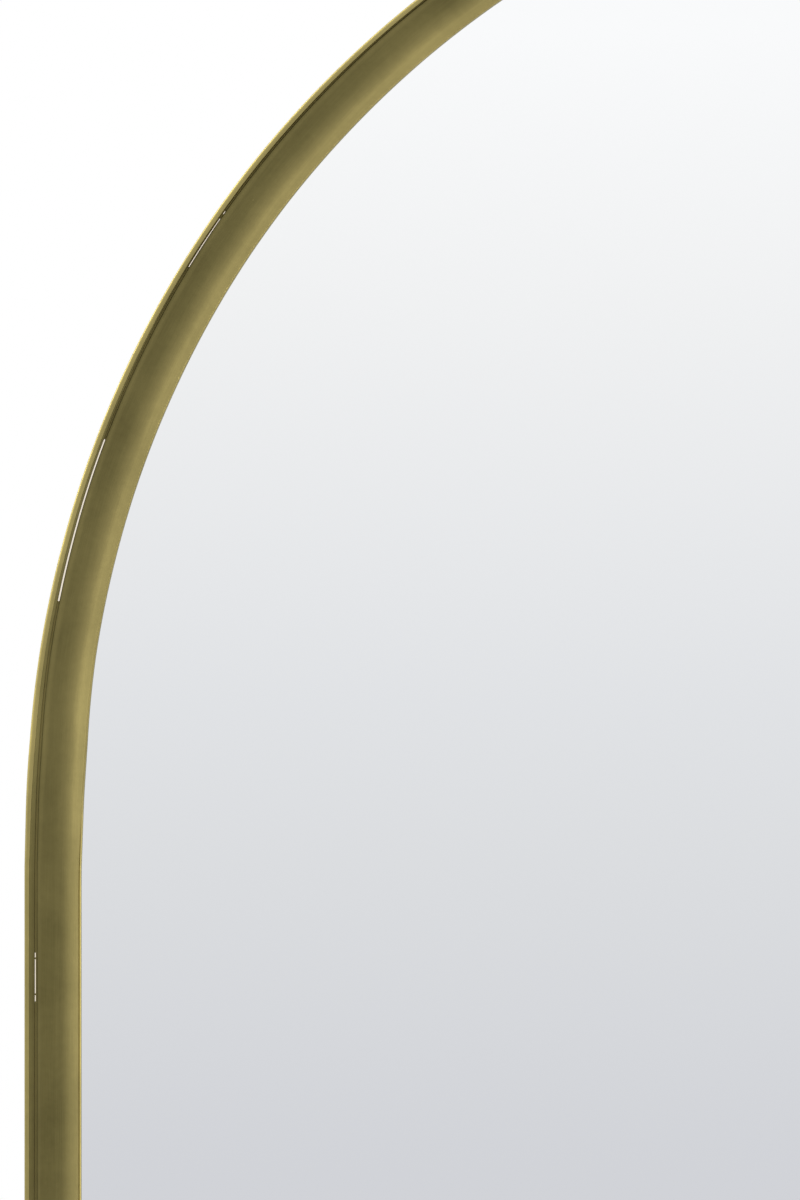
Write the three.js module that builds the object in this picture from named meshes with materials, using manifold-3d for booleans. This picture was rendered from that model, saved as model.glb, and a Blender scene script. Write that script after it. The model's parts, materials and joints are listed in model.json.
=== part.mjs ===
// An arched, full-length leaning floor mirror in a two-piece brass-finished frame.
// Millimetres, +Z up, X across, the glass faces -Y. It leans back on its own fold-out prop stand.
//
// Every piece of the mirror is drawn in "frame space", before the lean: x across, z up along the glass,
// y = 0 on the back plane and negative towards the front. Sections use two measures of that space:
//   in    distance inwards from the outer silhouette, square to it
//   rise  distance forwards from the back plane, so rise = -y

import * as THREE from 'three';
import { mergeVertices } from 'three/addons/utils/BufferGeometryUtils.js';
import Module from 'manifold-3d';

const wasm = await Module();
wasm.setup();

// ---------- driving dimensions ----------

// the whole mirror
const WIDTH = 762;
const HEIGHT = 1803;
const LEAN_DEG = 9;
const FACET_SAG = 0.3; // how far an arch facet may stand inside the true circle

// clearances
const FIT = 0.3; // between pieces that rest on or pass through each other
const RUNNING = 0.08; // round a pin that turns in its hole
const OVERRUN = 10; // how far a cutting shape runs past what it cuts
const WELD = 1e-4; // vertices closer than this are one

// outer band: a flat bar on edge
const BAND_DEPTH = 38;
const BAND_THICKNESS = 3.2;
const RIM_WIDTH = 1.8;
const RIM_OUTER_ROUND = 0.6;
const RIM_INNER_ROUND = 0.3;
const LEDGE_BELOW_RIM = 0.9;
const LEDGE_SLOPE = 0.5;

// slit between band and moulding
const SLIT = 0.8;

// inner moulding: an extruded profile bent like the band
const FACE_BELOW_RIM = 2.6;
const FACE_WIDTH = 16.4;
const FACE_FLAT = 8;
const FACE_ROLL = 2.6;
const ROLL_STEPS = 5;
const ARRIS_WIDTH = 0.8;
const ARRIS_HEIGHT = 0.4;
const ARRIS_SLOPE = 0.2;
const SHEET = 1.6;
const LIP_WIDTH = 1.5;
const LIP_DEPTH = 4.6;
const OUTER_LEG = 2;
const FLANGE_WIDTH = 5;
const FLANGE_THICKNESS = 2.2;

// glass and what lies behind it
const GASKET_THICKNESS = 1;
const GASKET_WIDTH = 6;
const GLASS_THICKNESS = 5;
const FOAM_THICKNESS = 1.5;
const FOAM_SETBACK = 3;
const BOARD_THICKNESS = 5;
const GLASS_EDGE_PLAY = 0.5;

// retaining clips
const CLIP_REACH = 20;
const CLIP_SETBACK = 1; // from the band's inner wall
const CLIP_WIDTH = 14;
const CLIP_THICKNESS = 1.2;
const LOWER_CLIP_HEIGHT = 330;
const UPPER_CLIP_BELOW_SPRING = 562;
const ARCH_CLIP_ANGLES = [48, 132];
const BOTTOM_CLIP_FROM_SIDE = 251;

// small screws, for clips, keys, hangers and joints
const SCREW_RADIUS = 1.5;
const SCREW_HEAD_RADIUS = 2.3;
const SCREW_HEAD_HEIGHT = 1.5;
const SCREW_SIDES = 12;
const BAND_SKIN = 0.9; // metal left outside a blind screw hole in the band

// corner keys
const KEY_LEG = 45;
const KEY_THICKNESS = 2;
const KEY_BACK = 9; // how far the key reaches behind the moulding's face sheet
const KEY_SCREW_FROM_END = 12;

// joining screws
const LEG_JOIN_HEIGHT = 620;
const ARCH_JOIN_ANGLES = [30, 150];

// hanger rail and D-ring hangers
const RAIL_BELOW_SPRING = 77; // below the height where the legs turn into the arch
const RAIL_BREADTH = 30;
const RAIL_THICKNESS = 3;
const HANGER_FROM_SIDE = 141;
const STRAP_WIDTH = 12;
const STRAP_THICKNESS = 1.2;
const STRAP_LENGTH = 24;
const STRAP_SCREW_DROP = 6;
const KNUCKLE_WALL = 1.2;
const RING_WIRE_RADIUS = 1.25;
const RING_HALF_WIDTH = 10;
const RING_DROP = 18;
const RING_CORNER = 3;
const RING_BOW = 9.5;
const RING_BUTT_GAP = 0.4;
const RING_SIDES = 8;

// wall bumpers, stuck on the backing board
const BUMPER_RADIUS = 9;
const BUMPER_IN = 26;
const BUMPER_PROUD = 2;
const BUMPER_CHAMFER = 1.5;
const BUMPER_ANGLES = [62, 118];

// wedge feet
const FOOT_HEIGHT = 3;
const FOOT_LENGTH = 40;
const FOOT_SETBACK = 4;
const FOOT_FROM_SIDE = 81;

// prop stand
const PIVOT_BELOW_SPRING = 272;
const PIVOT_RISE = 6;
const FOLDED_FOOT_HEIGHT = 13; // of the hoop's foot above the frame's base when folded
const ARM_IN = 12;
const BAR_RADIUS = 5;
const HOOP_BEND = 45;
const BEND_STEPS = 8;
const BAR_SIDES = 12;
const TANG_THICKNESS = 4;
const TANG_HALF_WIDTH = 4.5;
const TANG_TOP = 10;
const TANG_BOTTOM = 50;
const BOLT_RADIUS = 3;
const BOLT_HEAD_RADIUS = 5.5;
const BOLT_HEAD_HEIGHT = 3;
const BOLT_SIDES = 24;
const BRACKET_THICKNESS = 3;
const BRACKET_TOP = 30;
const BRACKET_BOTTOM = 40;
const BRACKET_EDGE = 1;
const BRACKET_SCREW_TOP = 22;
const BRACKET_SCREW_BOTTOM = 28;
const STOP_BOTTOM = 3;
const STOP_TOP = 14;
const SLEEVE_RADIUS = 8;
const SLEEVE_LENGTH = 40;
const SLEEVE_FROM_SIDE = 131;
const SLEEVE_SIDES = 20;

// ---------- sizes that follow ----------

const radians = THREE.MathUtils.degToRad;
const LEAN = radians(LEAN_DEG);
const HALF = WIDTH / 2;
const SPRING = HEIGHT - HALF; // height of the arch's centre
const ARCH_STEPS = 2 * Math.ceil(Math.PI / (4 * Math.acos(1 - FACET_SAG / HALF)));

// the moulding's section, in "in" and "rise"
const MOULD_OUT = BAND_THICKNESS + SLIT;
const MOULD_IN = MOULD_OUT + FACE_WIDTH;
const FACE_RISE = BAND_DEPTH - FACE_BELOW_RIM;
const ROLL_START = MOULD_OUT + FACE_FLAT;
const ROLL_END = MOULD_IN - ARRIS_WIDTH;
const LIP_RISE = FACE_RISE - FACE_ROLL - LIP_DEPTH + SHEET;

// the stack behind the lip, from the front
const GASKET_FRONT = LIP_RISE - FIT;
const GLASS_FRONT = GASKET_FRONT - GASKET_THICKNESS - FIT;
const FOAM_FRONT = GLASS_FRONT - GLASS_THICKNESS - FIT;
const BOARD_FRONT = FOAM_FRONT - FOAM_THICKNESS - FIT;
const BOARD_BACK = BOARD_FRONT - BOARD_THICKNESS;
const GLASS_EDGE = MOULD_OUT + FLANGE_WIDTH + GLASS_EDGE_PLAY;
const SEAT_SCREW_IN = MOULD_OUT + FLANGE_WIDTH / 2; // line of the screws in the flange
const JOIN_RISE = FACE_RISE - SHEET - SCREW_HEAD_RADIUS - FIT;

// places along the frame
const LEG_CLIP_HEIGHTS = [LOWER_CLIP_HEIGHT, SPRING - UPPER_CLIP_BELOW_SPRING];
const RAIL_HEIGHT = SPRING - RAIL_BELOW_SPRING;
const HANGER_X = HALF - HANGER_FROM_SIDE;
const FOOT_X = HALF - FOOT_FROM_SIDE;
const SLEEVE_X = HALF - SLEEVE_FROM_SIDE;
const PIVOT_HEIGHT = SPRING - PIVOT_BELOW_SPRING;

// the stand
const ARM_X = HALF - ARM_IN;
const ARM_LENGTH = PIVOT_HEIGHT - FOLDED_FOOT_HEIGHT;
const PIVOT_ABOVE_FLOOR = FOOT_HEIGHT + PIVOT_HEIGHT * Math.cos(LEAN) + PIVOT_RISE * Math.sin(LEAN);
const STAND_ANGLE = LEAN + Math.acos((PIVOT_ABOVE_FLOOR - SLEEVE_RADIUS) / ARM_LENGTH);

// ---------- materials ----------

function finish(color, roughness, metalness) {
  return new THREE.MeshStandardMaterial({ color, roughness, metalness });
}

const brass = finish(0x8a7f4e, 0.42, 1);
const brassRim = finish(0xa89a5f, 0.38, 1);
const silvering = finish(0xe6e8ea, 0.03, 1);
const zincSteel = finish(0xa9adb0, 0.4, 1);
const blackSteel = finish(0x2a2a2b, 0.55, 0.6);
const rubber = finish(0x1d1d1e, 0.9, 0);
const foam = finish(0xd8d9d6, 0.95, 0);
const board = finish(0x7a5c3e, 0.9, 0);

// ---------- solids ----------

function solidOf(geometry) {
  const bare = geometry.clone();
  bare.deleteAttribute('normal');
  bare.deleteAttribute('uv');
  const merged = mergeVertices(bare, WELD);
  return new wasm.Manifold(new wasm.Mesh({
    numProp: 3,
    vertProperties: new Float32Array(merged.attributes.position.array),
    triVerts: new Uint32Array(merged.index.array),
  }));
}

function geometryOf(solid) {
  const mesh = solid.getMesh();
  const geometry = new THREE.BufferGeometry();
  geometry.setAttribute('position', new THREE.BufferAttribute(new Float32Array(mesh.vertProperties), 3));
  geometry.setIndex(new THREE.BufferAttribute(new Uint32Array(mesh.triVerts), 1));
  const shaded = geometry.toNonIndexed();
  shaded.computeVertexNormals();
  return shaded;
}

function cut(geometry, cutters) {
  return geometryOf(cutters.reduce((solid, cutter) => solid.subtract(solidOf(cutter)), solidOf(geometry)));
}

function join(geometry, others) {
  return geometryOf(others.reduce((solid, other) => solid.add(solidOf(other)), solidOf(geometry)));
}

function keep(geometry, region) {
  return geometryOf(solidOf(geometry).intersect(solidOf(region)));
}

function add(parent, name, geometry, material) {
  const mesh = new THREE.Mesh(geometry, material);
  mesh.name = name;
  parent.add(mesh);
  return mesh;
}

// a box between two corners, each given as [x, y, z]
function block(low, high) {
  const size = high.map((value, i) => value - low[i]);
  const middle = high.map((value, i) => (value + low[i]) / 2);
  return new THREE.BoxGeometry(...size).translate(...middle);
}

// a round rod along +X from `from` to `to`
function rodX(radius, from, to, sides) {
  const rod = new THREE.CylinderGeometry(radius, radius, to - from, sides);
  return rod.rotateZ(Math.PI / 2).translate((from + to) / 2, 0, 0);
}

// a clearance hole for a small screw, along y and centred on y = 0
function screwHole() {
  return new THREE.CylinderGeometry(
    SCREW_RADIUS + FIT, SCREW_RADIUS + FIT, 2 * OVERRUN, SCREW_SIDES,
  );
}

// a turned piece along +Y: stations are [distance along y, radius], from one end to the other
function turned(stations, sides) {
  const ends = [stations[0][0], stations[stations.length - 1][0]];
  const profile = [
    new THREE.Vector2(0, ends[0]),
    ...stations.map(([along, radius]) => new THREE.Vector2(radius, along)),
    new THREE.Vector2(0, ends[1]),
  ];
  return new THREE.LatheGeometry(profile, sides);
}

// a small screw along +Y, its head's seat at y = 0, its head beyond it and its shank before it
function screw(shankLength) {
  return turned([
    [-shankLength, SCREW_RADIUS],
    [0, SCREW_RADIUS],
    [0, SCREW_HEAD_RADIUS],
    [SCREW_HEAD_HEIGHT, SCREW_HEAD_RADIUS],
  ], SCREW_SIDES);
}

// ---------- sweeping a section along the frame ----------

// A route in the XZ plane. Its stations give each ring's place and direction, so a straight
// stretch costs one step. The section's first axis is the rise and its second the inward side.
class Route extends THREE.Curve {
  constructor(stations) {
    super();
    this.stations = stations;
  }

  at(share) {
    return this.stations[Math.round(share * (this.stations.length - 1))];
  }

  getPointAt(share) {
    const { x, z } = this.at(share);
    return new THREE.Vector3(x, 0, z);
  }

  computeFrenetFrames(segments) {
    const front = new THREE.Vector3(0, -1, 0);
    const shares = Array.from({ length: segments + 1 }, (_, i) => i / segments);
    const tangents = shares.map((share) => {
      const { heading } = this.at(share);
      return new THREE.Vector3(Math.cos(heading), 0, Math.sin(heading));
    });
    const normals = tangents.map(() => front.clone());
    const binormals = tangents.map((tangent) => new THREE.Vector3().crossVectors(tangent, front));
    return { tangents, normals, binormals };
  }
}

function sweep(section, stations) {
  const shape = new THREE.Shape(section.map(([rise, inward]) => new THREE.Vector2(rise, inward)));
  return new THREE.ExtrudeGeometry(shape, { steps: stations.length - 1, extrudePath: new Route(stations) });
}

// up the left leg, over the arch and down the right leg, along the silhouette
function archStations() {
  const up = Math.PI / 2;
  const stations = [{ x: -HALF, z: 0, heading: up }];
  for (let i = 0; i <= ARCH_STEPS; i += 1) {
    const turn = Math.PI * (1 - i / ARCH_STEPS);
    stations.push({ x: HALF * Math.cos(turn), z: SPRING + HALF * Math.sin(turn), heading: turn - up });
  }
  stations.push({ x: HALF, z: 0, heading: -up });
  return stations;
}

// along the bottom, from right to left, so that inwards is up
function bottomStations() {
  return [
    { x: HALF + OVERRUN, z: 0, heading: Math.PI },
    { x: -HALF - OVERRUN, z: 0, heading: Math.PI },
  ];
}

// a route through corner points [x, z], each corner rounded by its own radius
function roundedStations(start, corners, end) {
  const points = [start, ...corners.map(({ at }) => at), end];
  const heading = (a, b) => Math.atan2(b[1] - a[1], b[0] - a[0]);
  const stations = [{ x: start[0], z: start[1], heading: heading(points[0], points[1]) }];
  corners.forEach(({ at, radius }, i) => {
    const before = heading(points[i], at);
    const turn = Math.atan2(
      Math.sin(heading(at, points[i + 2]) - before),
      Math.cos(heading(at, points[i + 2]) - before),
    );
    const setback = radius * Math.tan(Math.abs(turn) / 2);
    const side = Math.sign(turn);
    const centre = [
      at[0] - setback * Math.cos(before) - side * radius * Math.sin(before),
      at[1] - setback * Math.sin(before) + side * radius * Math.cos(before),
    ];
    for (let step = 0; step <= BEND_STEPS; step += 1) {
      const along = before + (turn * step) / BEND_STEPS;
      stations.push({
        x: centre[0] + side * radius * Math.sin(along),
        z: centre[1] - side * radius * Math.cos(along),
        heading: along,
      });
    }
  });
  stations.push({ x: end[0], z: end[1], heading: heading(points[points.length - 2], end) });
  return stations;
}

function circleSection(radius, sides) {
  return Array.from({ length: sides }, (_, i) => {
    const angle = (2 * Math.PI * i) / sides;
    return [radius * Math.cos(angle), radius * Math.sin(angle)];
  });
}

// the region below both mitre planes, moved up by `lift`
function mitreRegion(lift) {
  const reach = HALF + OVERRUN;
  const triangle = new THREE.Shape([
    new THREE.Vector2(-reach, -OVERRUN + lift),
    new THREE.Vector2(reach, -OVERRUN + lift),
    new THREE.Vector2(0, HALF + lift),
  ]);
  const depth = BAND_DEPTH + 2 * OVERRUN;
  return new THREE.ExtrudeGeometry(triangle, { depth, bevelEnabled: false })
    .rotateX(Math.PI / 2)
    .translate(0, OVERRUN, 0);
}

// ---------- stations round the frame ----------

// a group at the silhouette, its x inwards, its y to the back and its z along the frame
function stationAt(x, z, inwardX, inwardZ) {
  const group = new THREE.Group();
  group.position.set(x, 0, z);
  group.rotation.y = Math.atan2(-inwardZ, inwardX);
  return group;
}

function onLeg(side, height) {
  return stationAt(side * HALF, height, -side, 0);
}

function onArch(degrees) {
  const angle = radians(degrees);
  const x = Math.cos(angle);
  const z = Math.sin(angle);
  return stationAt(HALF * x, SPRING + HALF * z, -x, -z);
}

function onBottom(x) {
  return stationAt(x, 0, 0, 1);
}

// geometry in a station's own space, moved to frame space for a cut
function placed(geometry, station) {
  station.updateMatrix();
  return geometry.clone().applyMatrix4(station.matrix);
}

// ---------- sections ----------

function bandSection() {
  const top = BAND_DEPTH;
  const ledge = top - LEDGE_BELOW_RIM;
  return [
    [0, 0],
    [0, BAND_THICKNESS],
    [ledge - LEDGE_SLOPE, BAND_THICKNESS],
    [ledge, RIM_WIDTH],
    [top - RIM_INNER_ROUND, RIM_WIDTH],
    [top, RIM_WIDTH - RIM_INNER_ROUND],
    [top, RIM_OUTER_ROUND],
    [top - RIM_OUTER_ROUND, 0],
  ].reverse();
}

function faceRise(inward) {
  const share = Math.max(0, (inward - ROLL_START) / (ROLL_END - ROLL_START));
  return FACE_RISE - FACE_ROLL * share * share;
}

function mouldingSection() {
  const flangeBack = BOARD_BACK;
  const lipBack = MOULD_IN - LIP_WIDTH;
  const arrisFoot = faceRise(ROLL_END);
  const rollAt = (i) => ROLL_START + ((ROLL_END - ROLL_START) * i) / ROLL_STEPS;
  const front = Array.from({ length: ROLL_STEPS + 1 }, (_, i) => [faceRise(rollAt(i)), rollAt(i)]);
  const under = Array.from({ length: ROLL_STEPS }, (_, i) => [faceRise(rollAt(i)) - SHEET, rollAt(i)]);
  return [
    [flangeBack, MOULD_OUT],
    [FACE_RISE, MOULD_OUT],
    ...front,
    [arrisFoot + ARRIS_HEIGHT, ROLL_END + ARRIS_SLOPE],
    [arrisFoot + ARRIS_HEIGHT, MOULD_IN],
    [LIP_RISE, MOULD_IN],
    [LIP_RISE, lipBack],
    [faceRise(lipBack) - SHEET, lipBack],
    ...under.reverse(),
    [FACE_RISE - SHEET, MOULD_OUT + OUTER_LEG],
    [flangeBack + FLANGE_THICKNESS, MOULD_OUT + OUTER_LEG],
    [flangeBack + FLANGE_THICKNESS, MOULD_OUT + FLANGE_WIDTH],
    [flangeBack, MOULD_OUT + FLANGE_WIDTH],
  ];
}

// the arch outline set in by `inward`, as a flat shape, and as a plate between two rises
function outline(inward) {
  const shape = new THREE.Shape();
  shape.moveTo(-HALF + inward, inward);
  shape.lineTo(HALF - inward, inward);
  shape.lineTo(HALF - inward, SPRING);
  shape.absarc(0, SPRING, HALF - inward, 0, Math.PI, false);
  shape.lineTo(-HALF + inward, inward);
  return shape;
}

function plate(shape, back, front) {
  const options = { depth: front - back, bevelEnabled: false, curveSegments: ARCH_STEPS / 2 };
  return new THREE.ExtrudeGeometry(shape, options).rotateX(Math.PI / 2).translate(0, -back, 0);
}

// ---------- frame ----------

const clipStations = [
  ...LEG_CLIP_HEIGHTS.flatMap((height) => [-1, 1].map((side) => onLeg(side, height))),
  ...ARCH_CLIP_ANGLES.map(onArch),
  ...[-1, 1].map((side) => onBottom(side * (HALF - BOTTOM_CLIP_FROM_SIDE))),
];
const railStations = [-1, 1].map((side) => onLeg(side, RAIL_HEIGHT));
const keyScrewStations = [-1, 1].flatMap((side) => [
  onLeg(side, KEY_LEG - KEY_SCREW_FROM_END),
  onBottom(side * (HALF - KEY_LEG + KEY_SCREW_FROM_END)),
]);
const joinStations = [
  ...[-1, 1].map((side) => onLeg(side, LEG_JOIN_HEIGHT)),
  ...ARCH_JOIN_ANGLES.map(onArch),
];

// a hole along x, from the band's skin inwards, for a screw that joins moulding and band
function joinHole(station) {
  const hole = rodX(SCREW_RADIUS + FIT, BAND_SKIN, MOULD_OUT + OUTER_LEG + OVERRUN, SCREW_SIDES);
  return placed(hole.translate(0, -JOIN_RISE, 0), station);
}

// a hole along y through the flange, for a clip or the rail
function flangeHole(station) {
  return placed(screwHole().translate(SEAT_SCREW_IN, -BOARD_BACK, 0), station);
}

function bracketHoles(side) {
  return [BRACKET_SCREW_TOP, -BRACKET_SCREW_BOTTOM].map((offset) => {
    const hole = rodX(SCREW_RADIUS + FIT, BAND_SKIN, ARM_IN, SCREW_SIDES);
    return placed(hole.translate(0, -PIVOT_RISE, 0), onLeg(side, PIVOT_HEIGHT + offset));
  });
}

function addBands(mirror) {
  const joinHoles = [...keyScrewStations, ...joinStations].map(joinHole);
  const standHoles = [-1, 1].flatMap(bracketHoles);
  const arch = cut(sweep(bandSection(), archStations()), [
    mitreRegion(FIT), ...joinHoles, ...standHoles,
  ]);
  add(mirror, 'outer_band_arch', arch, brassRim);
  const bottom = cut(keep(sweep(bandSection(), bottomStations()), mitreRegion(0)), joinHoles);
  add(mirror, 'outer_band_bottom', bottom, brassRim);
}

function addMouldings(mirror) {
  const joinHoles = [...keyScrewStations, ...joinStations].map(joinHole);
  const flangeHoles = [...clipStations, ...railStations].map(flangeHole);
  const arch = cut(sweep(mouldingSection(), archStations()), [
    mitreRegion(FIT), ...joinHoles, ...flangeHoles,
  ]);
  add(mirror, 'inner_moulding_arch', arch, brass);
  const bottom = cut(keep(sweep(mouldingSection(), bottomStations()), mitreRegion(0)), [
    ...joinHoles, ...flangeHoles,
  ]);
  add(mirror, 'inner_moulding_bottom', bottom, brass);
}

function addJoiningScrew(mirror, name, station, seat) {
  const shaft = screw(seat - BAND_SKIN - FIT).rotateZ(-Math.PI / 2);
  add(station, name, shaft.translate(seat, -JOIN_RISE, 0), zincSteel);
  mirror.add(station);
}

function addCornerKeys(mirror) {
  const outer = MOULD_OUT + OUTER_LEG + FIT;
  const inner = outer + KEY_THICKNESS;
  const front = FACE_RISE - SHEET - FIT;
  [-1, 1].forEach((side) => {
    const corner = [
      [outer, outer],
      [KEY_LEG, outer],
      [KEY_LEG, inner],
      [inner, inner],
      [inner, KEY_LEG],
      [outer, KEY_LEG],
    ].map(([across, up]) => new THREE.Vector2(side * (HALF - across), up));
    const key = plate(new THREE.Shape(corner), front - KEY_BACK, front);
    const hand = side < 0 ? 'left' : 'right';
    add(mirror, `corner_key_${hand}`, cut(key, keyScrewStations.map(joinHole)), zincSteel);
  });
  keyScrewStations.forEach((station, i) => {
    const hand = i < 2 ? 'left' : 'right';
    const leg = i % 2 ? 'bottom' : 'side';
    addJoiningScrew(mirror, `corner_key_screw_${hand}_${leg}`, station, inner + FIT);
  });
}

function addJoiningScrews(mirror) {
  const names = ['left', 'right', 'arch_right', 'arch_left'];
  joinStations.forEach((station, i) => {
    addJoiningScrew(mirror, `joining_screw_${names[i]}`, station, MOULD_OUT + OUTER_LEG + FIT);
  });
}

// ---------- glass and backing ----------

function addGlazing(mirror) {
  const ring = outline(MOULD_IN - GASKET_WIDTH);
  ring.holes.push(outline(MOULD_IN));
  add(mirror, 'glass_gasket', plate(ring, GASKET_FRONT - GASKET_THICKNESS, GASKET_FRONT), rubber);
  const glass = plate(outline(GLASS_EDGE), GLASS_FRONT - GLASS_THICKNESS, GLASS_FRONT);
  add(mirror, 'mirror_glass', glass, silvering);
  const sheet = plate(outline(GLASS_EDGE + FOAM_SETBACK), FOAM_FRONT - FOAM_THICKNESS, FOAM_FRONT);
  add(mirror, 'foam_sheet', sheet, foam);
  add(mirror, 'backing_board', plate(outline(GLASS_EDGE), BOARD_BACK, BOARD_FRONT), board);
}

// a clip lies on the flange and reaches over the board; its screw enters the flange
function addClips(mirror) {
  const back = BOARD_BACK - FIT;
  const start = BAND_THICKNESS + CLIP_SETBACK;
  clipStations.forEach((station, i) => {
    const blank = block(
      [start, -back, -CLIP_WIDTH / 2],
      [start + CLIP_REACH, -back + CLIP_THICKNESS, CLIP_WIDTH / 2],
    );
    const clip = cut(blank, [screwHole().translate(SEAT_SCREW_IN, -back, 0)]);
    add(station, `retaining_clip_${i + 1}`, clip, zincSteel);
    const seat = -back + CLIP_THICKNESS + FIT;
    const shaft = screw(CLIP_THICKNESS + 2 * FIT + FLANGE_THICKNESS);
    add(station, `clip_screw_${i + 1}`, shaft.translate(SEAT_SCREW_IN, seat, 0), zincSteel);
    mirror.add(station);
  });
}

// ---------- hanging and leaning hardware ----------

function addRail(mirror) {
  const front = BOARD_BACK - FIT;
  const end = HALF - BAND_THICKNESS - FIT;
  const bar = block(
    [-end, -front, RAIL_HEIGHT - RAIL_BREADTH / 2],
    [end, -front + RAIL_THICKNESS, RAIL_HEIGHT + RAIL_BREADTH / 2],
  );
  const hangerHoles = [-1, 1].map((side) => (
    screwHole().translate(side * HANGER_X, -front, RAIL_HEIGHT)
  ));
  add(mirror, 'hanger_rail', cut(bar, [...railStations.map(flangeHole), ...hangerHoles]), zincSteel);
  railStations.forEach((station, i) => {
    const shaft = screw(RAIL_THICKNESS + 2 * FIT + FLANGE_THICKNESS);
    const seat = -front + RAIL_THICKNESS + FIT;
    const hand = i ? 'right' : 'left';
    add(station, `rail_screw_${hand}`, shaft.translate(SEAT_SCREW_IN, seat, 0), zincSteel);
    mirror.add(station);
  });
}

// the strap folds round the ring's straight bar; the ring hangs plumb
function addHanger(mirror, side) {
  const hand = side < 0 ? 'left' : 'right';
  const boreRadius = RING_WIRE_RADIUS + RUNNING;
  const knuckleRadius = boreRadius + KNUCKLE_WALL;
  const strapFront = BOARD_BACK - FIT - RAIL_THICKNESS - FIT;
  const knuckleRise = strapFront - knuckleRadius;
  const screwUp = STRAP_LENGTH - STRAP_SCREW_DROP;

  const hanger = new THREE.Group();
  hanger.position.set(side * HANGER_X, -knuckleRise, RAIL_HEIGHT - screwUp);
  const flat = block(
    [-STRAP_WIDTH / 2, -knuckleRadius, 0],
    [STRAP_WIDTH / 2, -knuckleRadius + STRAP_THICKNESS, STRAP_LENGTH],
  );
  const knuckle = rodX(knuckleRadius, -STRAP_WIDTH / 2, STRAP_WIDTH / 2, BOLT_SIDES);
  const bore = rodX(boreRadius, -STRAP_WIDTH, STRAP_WIDTH, BOLT_SIDES);
  const hole = screwHole().translate(0, -knuckleRadius, screwUp);
  add(hanger, `hanger_strap_${hand}`, cut(join(flat, [knuckle]), [bore, hole]), zincSteel);
  const seat = -knuckleRadius + STRAP_THICKNESS + FIT;
  const shaft = screw(STRAP_THICKNESS + 2 * FIT + RAIL_THICKNESS);
  add(hanger, `hanger_screw_${hand}`, shaft.translate(0, seat, screwUp), zincSteel);

  const ringRoute = roundedStations([RING_BUTT_GAP / 2, 0], [
    { at: [RING_HALF_WIDTH, 0], radius: RING_CORNER },
    { at: [RING_HALF_WIDTH, -RING_DROP], radius: RING_BOW },
    { at: [-RING_HALF_WIDTH, -RING_DROP], radius: RING_BOW },
    { at: [-RING_HALF_WIDTH, 0], radius: RING_CORNER },
  ], [-RING_BUTT_GAP / 2, 0]);
  const wire = sweep(circleSection(RING_WIRE_RADIUS, RING_SIDES), ringRoute);
  const ring = add(hanger, `hanger_ring_${hand}`, wire, zincSteel);
  ring.rotation.x = LEAN;
  mirror.add(hanger);
}

function addBumpers(mirror) {
  BUMPER_ANGLES.map(onArch).forEach((station, i) => {
    const post = turned([
      [-BOARD_BACK + FIT, BUMPER_RADIUS],
      [BUMPER_PROUD - BUMPER_CHAMFER, BUMPER_RADIUS],
      [BUMPER_PROUD, BUMPER_RADIUS - BUMPER_CHAMFER],
    ], SLEEVE_SIDES);
    const hand = i ? 'left' : 'right';
    add(station, `wall_bumper_${hand}`, post.translate(BUMPER_IN, 0, 0), rubber);
    mirror.add(station);
  });
}

// a foot fills the wedge between the leaning band and the floor
function addFeet(mirror) {
  const low = (y) => (-FOOT_HEIGHT + y * Math.sin(LEAN)) / Math.cos(LEAN);
  const front = -BAND_DEPTH + FOOT_SETBACK;
  const back = -FOOT_SETBACK;
  [-1, 1].forEach((side) => {
    const wedge = new THREE.Shape([
      new THREE.Vector2(front, low(front)),
      new THREE.Vector2(back, low(back)),
      new THREE.Vector2(back, -FIT),
      new THREE.Vector2(front, -FIT),
    ]);
    const foot = new THREE.ExtrudeGeometry(wedge, { depth: FOOT_LENGTH, bevelEnabled: false });
    // shape (y, z) extruded along x
    foot.rotateX(Math.PI / 2).rotateZ(Math.PI / 2);
    foot.translate(side * FOOT_X - FOOT_LENGTH / 2, 0, 0);
    add(mirror, `floor_foot_${side < 0 ? 'left' : 'right'}`, foot, rubber);
  });
}

// ---------- prop stand ----------

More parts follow.
